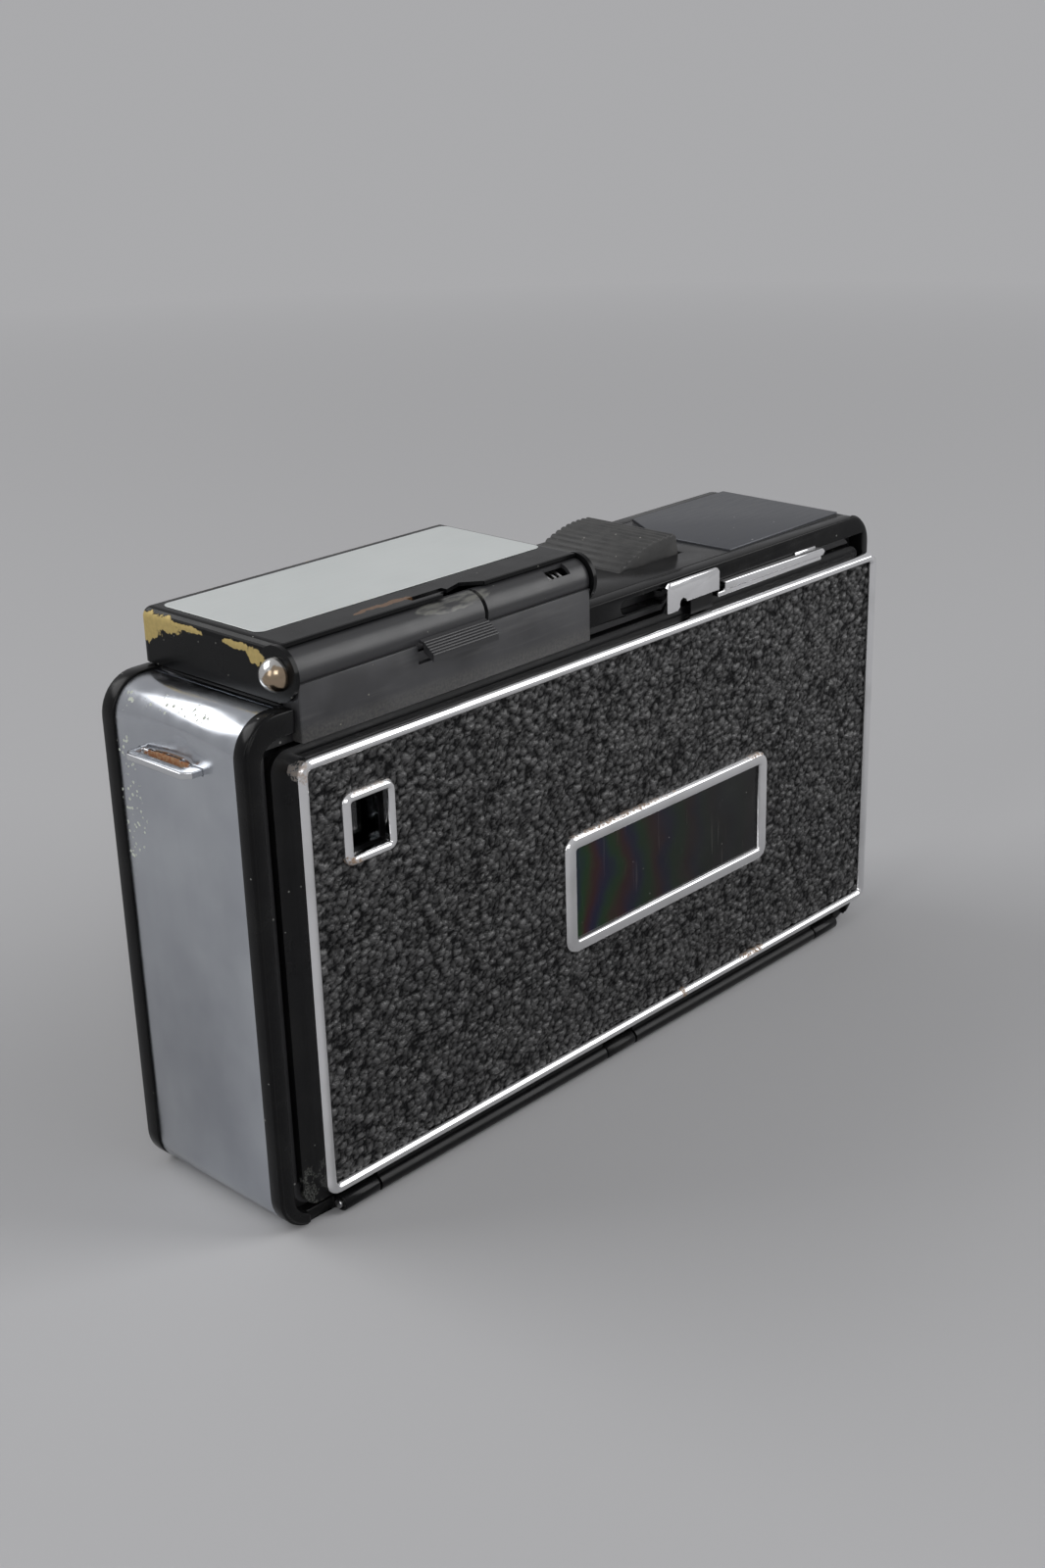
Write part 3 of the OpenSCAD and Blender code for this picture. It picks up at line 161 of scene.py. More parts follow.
class Graph:
    """Adds and joins nodes in one tree."""

    def __init__(self, tree):
        self.tree = tree

    def add(self, kind, inputs=None, **settings):
        node = self.tree.nodes.new(kind)
        for key, value in settings.items():
            setattr(node, key, value)
        for key, value in (inputs or {}).items():
            self.join(value, node.inputs[key])
        return node

    def join(self, value, socket):
        """Links another node's output to a socket, or sets the socket to a plain value."""
        if isinstance(value, bpy.types.NodeSocket):
            self.tree.links.new(value, socket)
        else:
            socket.default_value = value

    def math(self, operation, a, b):
        return self.add("ShaderNodeMath", {0: a, 1: b}, operation=operation).outputs[0]

    def strongest(self, masks):
        """The highest of several masks."""
        result, *others = masks
        for mask in others:
            result = self.math("MAXIMUM", result, mask)
        return result

    def without(self, mask, share=1.0):
        """1 less a share of a mask."""
        if share != 1.0:
            mask = self.math("MULTIPLY", mask, share)
        return self.math("SUBTRACT", 1.0, mask)

    def vector(self, operation, a, b):
        return self.add("ShaderNodeVectorMath", {0: a, 1: b}, operation=operation).outputs["Vector"]

    def length(self, a):
        return self.add("ShaderNodeVectorMath", {0: a}, operation="LENGTH").outputs["Value"]

    def stretched(self, vector, amounts):
        return self.vector("MULTIPLY", vector, amounts)

    def axes(self, vector):
        return self.add("ShaderNodeSeparateXYZ", {"Vector": vector}).outputs

    def mix(self, factor, a, b):
        """Blends two colours."""
        first, second, result = MIX_COLOURS
        return self.add("ShaderNodeMix", {0: factor, first: a, second: b}, data_type="RGBA").outputs[result]

    def mix_value(self, factor, a, b):
        first, second, result = MIX_VALUES
        return self.add("ShaderNodeMix", {0: factor, first: a, second: b}, data_type="FLOAT").outputs[result]

    def ramp(self, value, low, high, to_low=0.0, to_high=1.0):
        """Takes low to to_low and high to to_high, and stops there on both sides."""
        numbers = dict(enumerate((value, low, high, to_low, to_high)))
        return self.add("ShaderNodeMapRange", numbers, clamp=True).outputs[0]

    def noise(self, vector, scale, detail, output="Fac"):
        inputs = {"Vector": vector, "Scale": scale, "Detail": detail}
        return self.add("ShaderNodeTexNoise", inputs).outputs[output]

    def group(self, tree, **inputs):
        """Places a node group and gives its one output."""
        return self.add("ShaderNodeGroup", inputs, node_tree=tree).outputs[0]


def new_group(name, inputs, output):
    """Makes a node group of numbers and vectors; gives its graph, its inputs and its output."""
    tree = bpy.data.node_groups.new(name, "ShaderNodeTree")
    kinds = {"value": "NodeSocketFloat", "vector": "NodeSocketVector"}
    for label, kind in inputs.items():
        tree.interface.new_socket(name=label, in_out="INPUT", socket_type=kinds[kind])
    tree.interface.new_socket(name=output, in_out="OUTPUT", socket_type=kinds["value"])
    given = tree.nodes.new("NodeGroupInput").outputs
    return Graph(tree), given, tree.nodes.new("NodeGroupOutput").inputs[output]


def make_patch_group():
    """A ragged patch round a centre, 1 inside and 0 outside."""
    graph, given, mask = new_group(
        "ragged patch",
        {"Place": "vector", "Centre": "vector", "Reach": "vector", "Grain": "value", "Raggedness": "value"},
        "Mask")
    offset = graph.vector("SUBTRACT", given["Place"], given["Centre"])
    distance = graph.length(graph.vector("DIVIDE", offset, given["Reach"]))
    wobble = graph.math("SUBTRACT", graph.noise(given["Place"], given["Grain"], 4.0), 0.5)
    ragged = graph.math("ADD", distance, graph.math("MULTIPLY", wobble, given["Raggedness"]))
    graph.join(graph.ramp(ragged, 1.0, 0.9), mask)
    return graph.tree


def make_speck_group():
    """Sparse specks, such as dust or pits."""
    graph, given, mask = new_group(
        "specks", {"Place": "vector", "Scale": "value", "Size": "value", "Share": "value"}, "Mask")
    cells = graph.add("ShaderNodeTexVoronoi", {"Vector": given["Place"], "Scale": given["Scale"]}).outputs
    near = graph.math("LESS_THAN", cells["Distance"], given["Size"])
    pick = graph.add("ShaderNodeSeparateColor", {"Color": cells["Color"]})
    chosen = graph.math("LESS_THAN", pick.outputs["Red"], given["Share"])
    graph.join(graph.math("MULTIPLY", near, chosen), mask)
    return graph.tree


def make_brushed_group():
    """Fine parallel marks: the stretch is small along the marks and large across them."""
    graph, given, marks = new_group(
        "brushed marks", {"Place": "vector", "Stretch": "vector", "Scale": "value"}, "Marks")
    lines = graph.stretched(given["Place"], given["Stretch"])
    graph.join(graph.noise(lines, given["Scale"], 3.0), marks)
    return graph.tree


PATCH = make_patch_group()
SPECKS = make_speck_group()
BRUSHED = make_brushed_group()


class Finish(Graph):
    """A material's tree, with its Principled shader and the point on the object in metres."""

    def __init__(self, name, **sockets):
        self.material = bpy.data.materials.new(name)
        self.material.use_nodes = True
        super().__init__(self.material.node_tree)
        self.shader = self.tree.nodes["Principled BSDF"]
        self.feed(**sockets)
        self.place = self.add("ShaderNodeTexCoord").outputs["Object"]

    def feed(self, **sockets):
        """Sets or joins the shader's sockets."""
        for label, value in sockets.items():
            self.join(value, self.shader.inputs[label.replace("_", " ")])

    def bump(self, height, depth, strength):
        """Raises the surface by a height from 0 to 1, with its depth in mm."""
        node = self.add("ShaderNodeBump", {"Height": height, "Distance": depth * MM, "Strength": strength})
        self.feed(Normal=node.outputs["Normal"])

    def patch(self, centre, reach, grain, raggedness, place=None):
        """A ragged patch, with its centre and reach in mm."""
        centre, reach = (tuple(size * MM for size in sizes) for sizes in (centre, reach))
        return self.group(PATCH, Place=self.place if place is None else place,
                          Centre=centre, Reach=reach, Grain=grain, Raggedness=raggedness)

    def specks(self, scale, size, share):
        return self.group(SPECKS, Place=self.place, Scale=scale, Size=size, Share=share)

    def marks(self, stretch, scale):
        return self.group(BRUSHED, Place=self.place, Stretch=stretch, Scale=scale)


# Finishes

def floor_material():
    """Pale floor that runs into the backdrop away from the object."""
    finish = Finish("pale_floor", Base_Color=FLOOR, Roughness=0.9, Specular_IOR_Level=0.0)
    far = finish.ramp(finish.length(finish.place), FADE_START, FADE_END)
    glow = finish.add("ShaderNodeEmission", {"Color": BACKDROP})
    blend = finish.add("ShaderNodeMixShader", {
        "Fac": finish.math("MULTIPLY", far, seen_ray(finish)),
        1: finish.shader.outputs[0],
        2: glow.outputs[0],
    })
    finish.join(blend.outputs[0], finish.tree.nodes["Material Output"].inputs["Surface"])
    return finish.material


def enamel(name, colour, rough, dust, shine):
    """Black enamel with a little orange peel, a thin film and dust."""
    finish = Finish(name, Specular_IOR_Level=shine)
    cloud = finish.noise(finish.place, 220.0, 4.0)
    specks = finish.specks(900.0, 0.13, dust)
    base = finish.mix(finish.ramp(cloud, 0.45, 0.75), colour, (0.010, 0.010, 0.010, 1))
    finish.feed(
        Base_Color=finish.mix(specks, base, (0.22, 0.22, 0.21, 1)),
        Roughness=finish.ramp(cloud, 0.3, 0.8, rough, rough + 0.16))
    finish.bump(finish.noise(finish.place, 700.0, 2.0), 0.02, 0.5)
    return finish.material


# Centre and reach in mm, grain and raggedness of each place where the lid is worn to brass
LID_WEAR = [
    ((-53.7, 12.8, 72.0), (0.9, 3.4, 1.9), 900.0, 1.2),
    ((-53.7, 8.8, 72.8), (0.9, 3.4, 1.0), 1300.0, 1.3),
    ((-53.7, 4.4, 73.1), (0.9, 2.8, 0.4), 1500.0, 1.5),
    ((-53.7, -4.6, 72.9), (0.9, 2.8, 0.5), 1300.0, 1.5),
    ((-53.7, -8.0, 72.2), (0.9, 1.7, 1.0), 1300.0, 1.3),
    ((-27.0, 13.6, 74.0), (23.0, 0.8, 0.6), 700.0, 2.0),
    ((-46.0, 13.7, 74.0), (3.0, 0.5, 0.6), 900.0, 2.2),
]


def worn_lid():
    """Glossy black enamel, worn to brass along its left end and its front edge."""
    finish = Finish("lid_enamel", Specular_IOR_Level=0.16)
    place = finish.place
    worn = finish.strongest([finish.patch(*spot) for spot in LID_WEAR])
    specks = finish.specks(1300.0, 0.14, 0.03)
    cloud = finish.noise(place, 260.0, 4.0)
    fine = finish.noise(place, 1800.0, 3.0)
    swirl = finish.stretched(finish.noise(place, 180.0, 3.0, "Color"), (0.004, 0.004, 0.0))
    rust = finish.patch((-33.5, -7.5, 76.2), (6.0, 0.7, 4.0), 900.0, 1.2,
                        finish.vector("ADD", place, swirl))
    tinted = finish.mix(rust, (0.006, 0.0062, 0.0066, 1), (0.16, 0.085, 0.042, 1))
    black = finish.mix(specks, tinted, (0.20, 0.20, 0.18, 1))
    brass = finish.mix(fine, (0.66, 0.52, 0.21, 1), (0.44, 0.33, 0.13, 1))
    gloss = finish.ramp(cloud, 0.3, 0.8, 0.18, 0.32)
    finish.feed(
        Base_Color=finish.mix(worn, black, brass),
        Metallic=finish.math("MULTIPLY", worn, 0.3),
        Roughness=finish.mix_value(worn, gloss, 0.5))
    finish.bump(finish.math("SUBTRACT", finish.math("MULTIPLY", cloud, 0.2), worn), 0.04, 0.6)
    return finish.material


def hinge_black():
    """Satin black of the flash hinge, rubbed grey beside the tab."""
    finish = Finish("hinge_black")
    place = finish.place
    marks = finish.marks((0.04, 1.0, 1.0), 1500.0)
    cloud = finish.noise(place, 300.0, 4.0)
    scuffs = finish.noise(finish.stretched(place, (0.25, 1.0, 1.0)), 1500.0, 5.0)
    rub = finish.patch((-26.5, -12.8, 73.2), (6.2, 1.6, 1.1), 420.0, 0.8)
    rubbed = finish.math("MULTIPLY", rub, finish.ramp(scuffs, 0.42, 0.62, 0.0, 0.8))
    specks = finish.specks(1500.0, 0.15, 0.02)
    base = finish.mix(finish.ramp(marks, 0.35, 0.7), (0.028, 0.028, 0.030, 1), (0.044, 0.044, 0.047, 1))
    grey = finish.mix(rubbed, base, (0.19, 0.19, 0.17, 1))
    finish.feed(
        Base_Color=finish.mix(specks, grey, (0.2, 0.2, 0.18, 1)),
        Roughness=finish.ramp(cloud, 0.3, 0.8, 0.32, 0.42))
    finish.bump(marks, 0.01, 0.6)
    return finish.material


def lug_chrome():
    """Chromed sheet with rust in its slit."""
    finish = Finish("lug_chrome")
    rust = finish.patch((-61.2, 1.0, 59.5), (0.9, 5.2, 1.0), 1300.0, 1.0)
    fine = finish.noise(finish.place, 2500.0, 4.0)
    brown = finish.mix(finish.ramp(fine, 0.35, 0.65), (0.30, 0.10, 0.035, 1), (0.42, 0.26, 0.14, 1))
    finish.feed(
        Base_Color=finish.mix(rust, (0.66, 0.67, 0.69, 1), brown),
        Metallic=finish.without(rust, 0.9),
        Roughness=finish.mix_value(rust, finish.ramp(fine, 0.3, 0.7, 0.14, 0.24), 0.85))
    finish.bump(finish.math("MULTIPLY", fine, rust), 0.1, 0.8)
    return finish.material


# Heights in metres on the pan between which the paler, speckled band at its foot thins out
PALE_BAND_TOP, PALE_BAND_FOOT = 0.0652, 0.0640


def pan_black():
    """Satin black of the panel under the barrel, with long rubs, and paler and speckled towards its foot."""
    finish = Finish("pan_black", Specular_IOR_Level=0.6)
    place = finish.place
    cloud = finish.noise(place, 160.0, 4.0)
    rubs = finish.noise(finish.stretched(place, (0.06, 1.0, 1.0)), 1500.0, 4.0)
    foot = finish.ramp(finish.axes(place)["Z"], PALE_BAND_TOP, PALE_BAND_FOOT)
    mottle = finish.ramp(finish.noise(place, 3200.0, 2.0), 0.30, 0.80, 0.02, 0.30)
    specks = finish.specks(1100.0, 0.13, 0.03)
    # Towards its foot the pan turns paler and speckled, with pale specks all over.
    pale = finish.strongest([finish.math("MULTIPLY", foot, mottle), specks])
    base = finish.mix(finish.ramp(cloud, 0.35, 0.7), (0.034, 0.034, 0.037, 1), (0.056, 0.056, 0.060, 1))
    lined = finish.mix(finish.ramp(rubs, 0.55, 0.75, 0.0, 0.4), base, (0.10, 0.10, 0.10, 1))
    finish.feed(
        Base_Color=finish.mix(pale, lined, (0.22, 0.21, 0.18, 1)),
        Roughness=finish.ramp(cloud, 0.3, 0.8, 0.36, 0.50))
    finish.bump(rubs, 0.01, 0.4)
    return finish.material


# Centre and reach in mm, grain and raggedness of each corroded place on the band
BAND_CORROSION = [
    ((-60.5, 9.8, 52.0), (3.0, 3.0, 10.0), 420.0, 1.6),
    ((-60.5, -12.4, 52.0), (3.0, 0.9, 14.0), 500.0, 1.6),
    ((-56.0, 3.0, 65.2), (4.5, 11.0, 1.0), 400.0, 2.4),
]


def band_chrome():
    """Chromed sheet with a soft brushed look and corrosion near its edges."""
    finish = Finish("band_chrome")
    cloud = finish.noise(finish.place, 90.0, 4.0)
    marks = finish.marks((0.3, 0.3, 0.06), 1600.0)
    pits = finish.specks(1700.0, 0.42, 0.45)
    corroded = finish.strongest([finish.patch(*spot) for spot in BAND_CORROSION])
    attacked = finish.math("MULTIPLY", corroded, pits)
    base = finish.mix(finish.ramp(cloud, 0.35, 0.7), (0.56, 0.585, 0.62, 1), (0.46, 0.48, 0.52, 1))
    finish.feed(
        Base_Color=finish.mix(attacked, base, (0.62, 0.66, 0.58, 1)),
        Metallic=finish.without(attacked),
        Roughness=finish.mix_value(attacked, finish.ramp(marks, 0.3, 0.7, 0.16, 0.26), 0.75))
    finish.bump(finish.math("ADD", finish.math("MULTIPLY", marks, 0.1), attacked), 0.03, 0.6)
    return finish.material


# Centre and reach in mm, and strength, of each dirty place on the bright frames and the trim
TRIM_DIRT = [
    ((1.0, -15.0, 36.9), (11.0, 1.0, 0.3), 0.8),
    ((31.5, -15.0, 36.8), (3.0, 1.2, 0.4), 0.8),
    ((12.0, -14.8, 19.9), (23.0, 0.8, 0.4), 0.7),
    ((-47.8, -15.0, 46.6), (1.6, 2.0, 1.0), 0.9),
    ((-44.0, -15.0, 55.3), (4.0, 2.0, 0.4), 0.5),
    ((14.4, -15.2, 4.5), (0.6, 2.0, 1.0), 1.0),
    ((31.0, -15.2, 5.0), (3.0, 1.2, 0.6), 0.9),
    ((-54.5, -15.0, 60.0), (1.0, 2.0, 1.4), 0.6),
]


def trim_chrome():
    """Bright chrome with hairline scratches and brown dirt in a few places."""
    finish = Finish("trim_chrome")
    place = finish.place
    cloud = finish.noise(place, 120.0, 4.0)
    scratches = finish.marks((0.15, 1.0, 1.0), 2500.0)
    spots = [finish.math("MULTIPLY", finish.patch(centre, reach, 900.0, 1.6), share)
             for centre, reach, share in TRIM_DIRT]
    grit = finish.ramp(finish.noise(place, 2200.0, 3.0), 0.38, 0.60)
    dirt = finish.math("MULTIPLY", finish.strongest(spots), grit)
    base = finish.mix(finish.ramp(cloud, 0.5, 0.8), (0.86, 0.86, 0.87, 1), (0.70, 0.70, 0.70, 1))
    finish.feed(
        Base_Color=finish.mix(dirt, base, (0.27, 0.16, 0.08, 1)),
        Metallic=finish.without(dirt, 0.9),
        Roughness=finish.mix_value(dirt, finish.ramp(scratches, 0.35, 0.8, 0.06, 0.2), 0.8))
    finish.bump(cloud, 0.01, 0.2)
    return finish.material


def satin_plate():
    """Fine satin aluminium with a greenish cast."""
    finish = Finish("satin_plate", Metallic=0.45)
    marks = finish.marks((0.08, 1.0, 1.0), 2600.0)
    cloud = finish.noise(finish.place, 60.0, 3.0)
    specks = finish.specks(700.0, 0.09, 0.05)
    base = finish.mix(cloud, (0.70, 0.735, 0.725, 1), (0.80, 0.83, 0.82, 1))
    finish.feed(
        Base_Color=finish.mix(specks, base, (0.75, 0.76, 0.74, 1)),
        Roughness=finish.ramp(marks, 0.3, 0.7, 0.42, 0.55))
    finish.bump(marks, 0.01, 0.4)
    return finish.material


def dark_inlay():
    """Dark satin metal of the plate beside the key."""
    finish = Finish("dark_inlay", Metallic=0.7)
    marks = finish.marks((0.1, 1.0, 1.0), 2200.0)
    specks = finish.specks(800.0, 0.12, 0.05)
    base = finish.mix(finish.ramp(marks, 0.3, 0.7), (0.10, 0.104, 0.115, 1), (0.13, 0.135, 0.148, 1))
    finish.feed(
        Base_Color=finish.mix(specks, base, (0.5, 0.5, 0.5, 1)),
        Roughness=finish.ramp(marks, 0.3, 0.7, 0.36, 0.5))
    finish.bump(marks, 0.01, 0.4)
    return finish.material


def leather():
    """Black leatherette: the light catches the tops of its grain, and the tops are also painted paler as a
    painted highlight and the creases near black as painted shade.
    """
    finish = Finish("leatherette")
    place = finish.place
    tops = finish.add("ShaderNodeAttribute", attribute_name="tops").outputs["Fac"]
    fine = finish.noise(place, 2600.0, 4.0)
    worn = finish.noise(place, 70.0, 4.0)
    pores = finish.math("MULTIPLY", finish.math("SUBTRACT", fine, 0.5), 0.5)
    # Painted highlight and painted shade: this mask paints the grain's tops paler and its creases near black
    # in the base colour. It also sets roughness and specular level.
    light = finish.ramp(finish.math("ADD", tops, pores), 0.12, 0.95)
    specks = finish.specks(1100.0, 0.12, 0.01)
    pale = finish.mix(worn, (0.046, 0.046, 0.048, 1), (0.074, 0.072, 0.070, 1))
    base = finish.mix(light, (0.004, 0.004, 0.0045, 1), pale)
    finish.feed(
        Base_Color=finish.mix(specks, base, (0.22, 0.21, 0.19, 1)),
        Roughness=finish.ramp(light, 0.0, 1.0, 0.50, 0.30),
        Specular_IOR_Level=finish.ramp(light, 0.0, 0.7, 0.1, 1.0))
    finish.bump(fine, 0.22, 1.0)
    return finish.material


def moulding(name, colour, rough):
    """Moulded plastic with a fine matt grain."""
    finish = Finish(name)
    cloud = finish.noise(finish.place, 300.0, 4.0)
    light = tuple(part * 1.9 for part in colour[:3]) + (1,)
    specks = finish.specks(1000.0, 0.16, 0.04)
    base = finish.mix(finish.ramp(cloud, 0.35, 0.75), colour, light)
    finish.feed(
        Base_Color=finish.mix(specks, base, (0.25, 0.25, 0.24, 1)),
        Roughness=finish.ramp(cloud, 0.3, 0.8, rough, rough + 0.15))
    finish.bump(finish.noise(finish.place, 2500.0, 2.0), 0.03, 0.5)
    return finish.material


def key_plastic():
    """Dusty dark plastic of the shutter key."""
    finish = Finish("key_plastic", Specular_IOR_Level=0.4)
    dust = finish.noise(finish.place, 420.0, 6.0)
    specks = finish.specks(1300.0, 0.18, 0.05)
    base = finish.mix(finish.ramp(dust, 0.3, 0.75), (0.036, 0.036, 0.036, 1), (0.080, 0.079, 0.077, 1))
    finish.feed(
        Base_Color=finish.mix(specks, base, (0.28, 0.27, 0.25, 1)),
        Roughness=finish.ramp(dust, 0.3, 0.7, 0.42, 0.60))
    finish.bump(finish.noise(finish.place, 2500.0, 2.0), 0.03, 0.5)
    return finish.material


def metal(name, colour, rough):
    """Plain machined metal with fine marks."""
    finish = Finish(name, Metallic=1.0)
    marks = finish.marks((1.0, 0.2, 1.0), 1800.0)
    dark = tuple(part * 0.75 for part in colour[:3]) + (1,)
    finish.feed(
        Base_Color=finish.mix(finish.ramp(marks, 0.3, 0.75), colour, dark),
        Roughness=finish.ramp(marks, 0.3, 0.75, rough, rough + 0.15))
    finish.bump(marks, 0.01, 0.5)
    return finish.material


def pin_steel():
    """Bright steel of the hinge pin, stained bronze on the rear of its dome."""
    finish = Finish("pin_steel", Metallic=1.0)
    stain = finish.patch((-56.0, -13.4, 70.4), (2.6, 1.9, 2.2), 700.0, 0.7)
    cloud = finish.noise(finish.place, 900.0, 4.0)
    base = finish.mix(finish.ramp(cloud, 0.3, 0.7), (0.80, 0.79, 0.77, 1), (0.60, 0.59, 0.57, 1))
    finish.feed(
        Base_Color=finish.mix(stain, base, (0.40, 0.31, 0.22, 1)),
        Roughness=finish.ramp(cloud, 0.3, 0.7, 0.10, 0.24))
    finish.bump(cloud, 0.02, 0.4)
    return finish.material


def clear_glass(name, tint):
    """Glass with a faint smear."""
    finish = Finish(name, Base_Color=tint, Transmission_Weight=1.0, IOR=1.5, Coat_Weight=0.4)
    smear = finish.noise(finish.place, 160.0, 4.0)
    finish.feed(Roughness=finish.ramp(smear, 0.4, 0.8, 0.015, 0.07))
    return finish.material


# Radians for each metre across the window: one run through the strained colours takes 7 mm
COLOUR_TURNS = 900.0
# How far the bands of colour sway, in metres
BAND_SWAY = 0.012
# The bands fade out between these places from left to right, in metres
BANDS_STRONG, BANDS_GONE = -0.008, 0.022


def window_glass():
    """Dark window plastic with faint strained colours in upright bands, and fine scratches."""
    finish = Finish("window_glass", IOR=1.45, Specular_IOR_Level=0.35)
    place = finish.place
    side = finish.axes(place)["X"]
    sway = finish.math("MULTIPLY", finish.math("SUBTRACT", finish.noise(place, 90.0, 3.0), 0.5), BAND_SWAY)
    turns = finish.math("MULTIPLY", finish.math("ADD", side, sway), COLOUR_TURNS)
    bands = {}
    for colour, shift in (("Red", 0.0), ("Green", 0.33), ("Blue", 0.67)):
        wave = finish.math("SINE", finish.math("ADD", turns, shift * 2 * math.pi), 0.0)
        bands[colour] = finish.ramp(wave, -0.4, 1.0, 0.005, 0.030)
    hue = finish.add("ShaderNodeCombineColor", bands).outputs[0]
    fade = finish.ramp(side, BANDS_STRONG, BANDS_GONE, 0.9, 0.05)
    cloud = finish.noise(place, 200.0, 4.0)
    base = finish.mix(finish.ramp(cloud, 0.3, 0.8), (0.005, 0.0055, 0.0055, 1), (0.013, 0.014, 0.0135, 1))
    streaks = finish.noise(finish.stretched(place, (1.0, 1.0, 0.05)), 1800.0, 2.0)
    scratches = finish.ramp(streaks, 0.66, 0.74, 0.0, 0.12)
    marks = finish.strongest([finish.specks(1400.0, 0.12, 0.03), scratches])
    finish.feed(
        Base_Color=finish.mix(marks, finish.mix(fade, base, hue), (0.24, 0.24, 0.22, 1)),
        Roughness=finish.ramp(cloud, 0.3, 0.8, 0.08, 0.2))
    return finish.material


def panel_black():
    """Satin black of the back door, worn to brass near the right end of its top edge."""
    finish = Finish("panel_black", Specular_IOR_Level=0.2)
    place = finish.place
    cloud = finish.noise(place, 220.0, 4.0)
    worn = finish.patch((50.0, -14.5, 64.3), (9.0, 3.0, 0.9), 500.0, 1.6)
    corner = finish.patch((-56.3, -14.8, 3.0), (1.6, 3.0, 5.5), 1100.0, 2.6)
    mottle = finish.ramp(finish.noise(place, 3600.0, 2.0), 0.40, 0.75, 0.0, 0.5)
    specks = finish.specks(1000.0, 0.13, 0.05)
    pale = finish.strongest([finish.math("MULTIPLY", corner, mottle), specks])
    base = finish.mix(finish.ramp(cloud, 0.45, 0.75), (0.005, 0.005, 0.0055, 1), (0.010, 0.010, 0.010, 1))
    brass = finish.mix(finish.noise(place, 1500.0, 3.0), (0.46, 0.38, 0.24, 1), (0.26, 0.20, 0.11, 1))
    finish.feed(
        Base_Color=finish.mix(pale, finish.mix(worn, base, brass), (0.32, 0.33, 0.30, 1)),
        Roughness=finish.ramp(cloud, 0.3, 0.8, 0.26, 0.42))
    finish.bump(finish.math("ADD", cloud, worn), 0.02, 0.5)
    return finish.material


def felt():
    """Black felt of the window seal."""
    finish = Finish("felt", Sheen_Weight=0.4)
    fuzz = finish.noise(finish.place, 2600.0, 4.0)
    finish.feed(
        Base_Color=finish.mix(fuzz, (0.004, 0.004, 0.004, 1), (0.022, 0.022, 0.022, 1)),
        Roughness=finish.ramp(fuzz, 0.2, 0.8, 0.85, 1.0))
    finish.bump(fuzz, 0.2, 0.8)
    return finish.material


# Pieces

def grid_mesh(width, depth, across, along):
    """A flat grid in X and Y, centred on the origin."""
    shape = bmesh.new()
    bmesh.ops.create_grid(shape, x_segments=across, y_segments=along, size=0.5)
    bmesh.ops.scale(shape, vec=(width, depth, 1), verts=shape.verts)
    return shape


def finish_mesh(name, shape, smooth=False):
    """Turns a bmesh into an object in the scene."""
    mesh = bpy.data.meshes.new(name)
    shape.to_mesh(mesh)
    shape.free()
    for face in mesh.polygons:
        face.use_smooth = smooth
    piece = bpy.data.objects.new(name, mesh)
    bpy.context.scene.collection.objects.link(piece)
    return piece


# Width, depth and height of one pebble of the leatherette
PEBBLE = Vector((1.3, 1.0, 0.82)) * MM
# How often the pebbles' outlines bend, for each metre, and how far
BENDS = 900
BEND_REACH = 0.42 * MM
# Width of the slope into a crease, as a share of a pebble, and how round the tops are
CREASE_WIDTH = 0.30
ROUNDNESS = 0.9
# Difference in height from pebble to pebble, and a factor that spreads their random numbers
UNEVENNESS = 0.25
SEED_SPREAD = 17
# Height and frequency of the fine grain on top
FINE_HEIGHT = 0.14
FINE_GRAIN = 2300
# Height in mm of a pebble, and depth in mm of its foot below the sheet's plane
PEBBLE_HEIGHT = 0.48
FOOT_DEPTH = 0.30
# How far a sheet runs on under a frame, and how far its edge is turned down
UNDER_FRAME = 0.75 * MM
EDGE_DEPTH = 0.4 * MM
# Distance between the points of each sheet
DOOR_SPACING = 0.25 * MM
FRONT_SPACING = 0.32 * MM
# Two points closer than this are one when a sheet is cut
CUT_TOLERANCE = 1e-7
# The points of a sheet's edge this near a round hole are drawn to its rim
DRAWN_REACH = 1 * MM
# Without a seed the grain would be another one on each run
GRAIN_SEED = 7


def pebble(point):
    """Height of the leather's grain at a point, from 0 in the creases to about 1 on the tops."""
    bend = noise.noise_vector(point * BENDS) * BEND_REACH
    place = Vector(a / b for a, b in zip(point + bend, PEBBLE))
    near, seeds = noise.voronoi(place)
    crease = min((near[1] - near[0]) / CREASE_WIDTH, 1.0)
    dome = max(1.0 - ROUNDNESS * near[0] * near[0], 0.0)
    swell = 1.0 - UNEVENNESS + UNEVENNESS * noise.cell(seeds[0] * SEED_SPREAD)
    return dome * swell * math.sqrt(crease) + FINE_HEIGHT * noise.noise(point * FINE_GRAIN)


def cut_hole(shape, low, high):
    """Removes the faces of a sheet in X and Z between two corners."""
    for axis, value in ((0, low.x), (0, high.x), (2, low.z), (2, high.z)):
        normal = Vector((1, 0, 0)) if axis == 0 else Vector((0, 0, 1))
        bmesh.ops.bisect_plane(shape, geom=shape.verts[:] + shape.edges[:] + shape.faces[:],
                               plane_co=normal * value, plane_no=normal, dist=CUT_TOLERANCE)
    middles = {face: face.calc_center_median() for face in shape.faces}
    inside = [face for face, middle in middles.items()
              if low.x < middle.x < high.x and low.z < middle.z < high.z]
    bmesh.ops.delete(shape, geom=inside, context="FACES")


def cut_disc(shape, centre, radius):
    """Cuts a round hole in a sheet in X and Z, and draws the sheet's edge out to the circle."""
    def reach(point):
        return math.hypot(point.x - centre.x, point.z - centre.z)

    inside = [face for face in shape.faces if reach(face.calc_center_median()) < radius]
    bmesh.ops.delete(shape, geom=inside, context="FACES")
    for vertex in shape.verts:
        if vertex.is_boundary and reach(vertex.co) < radius + DRAWN_REACH:
            far = radius / reach(vertex.co)
            vertex.co.x = centre.x + (vertex.co.x - centre.x) * far
            vertex.co.z = centre.z + (vertex.co.z - centre.z) * far


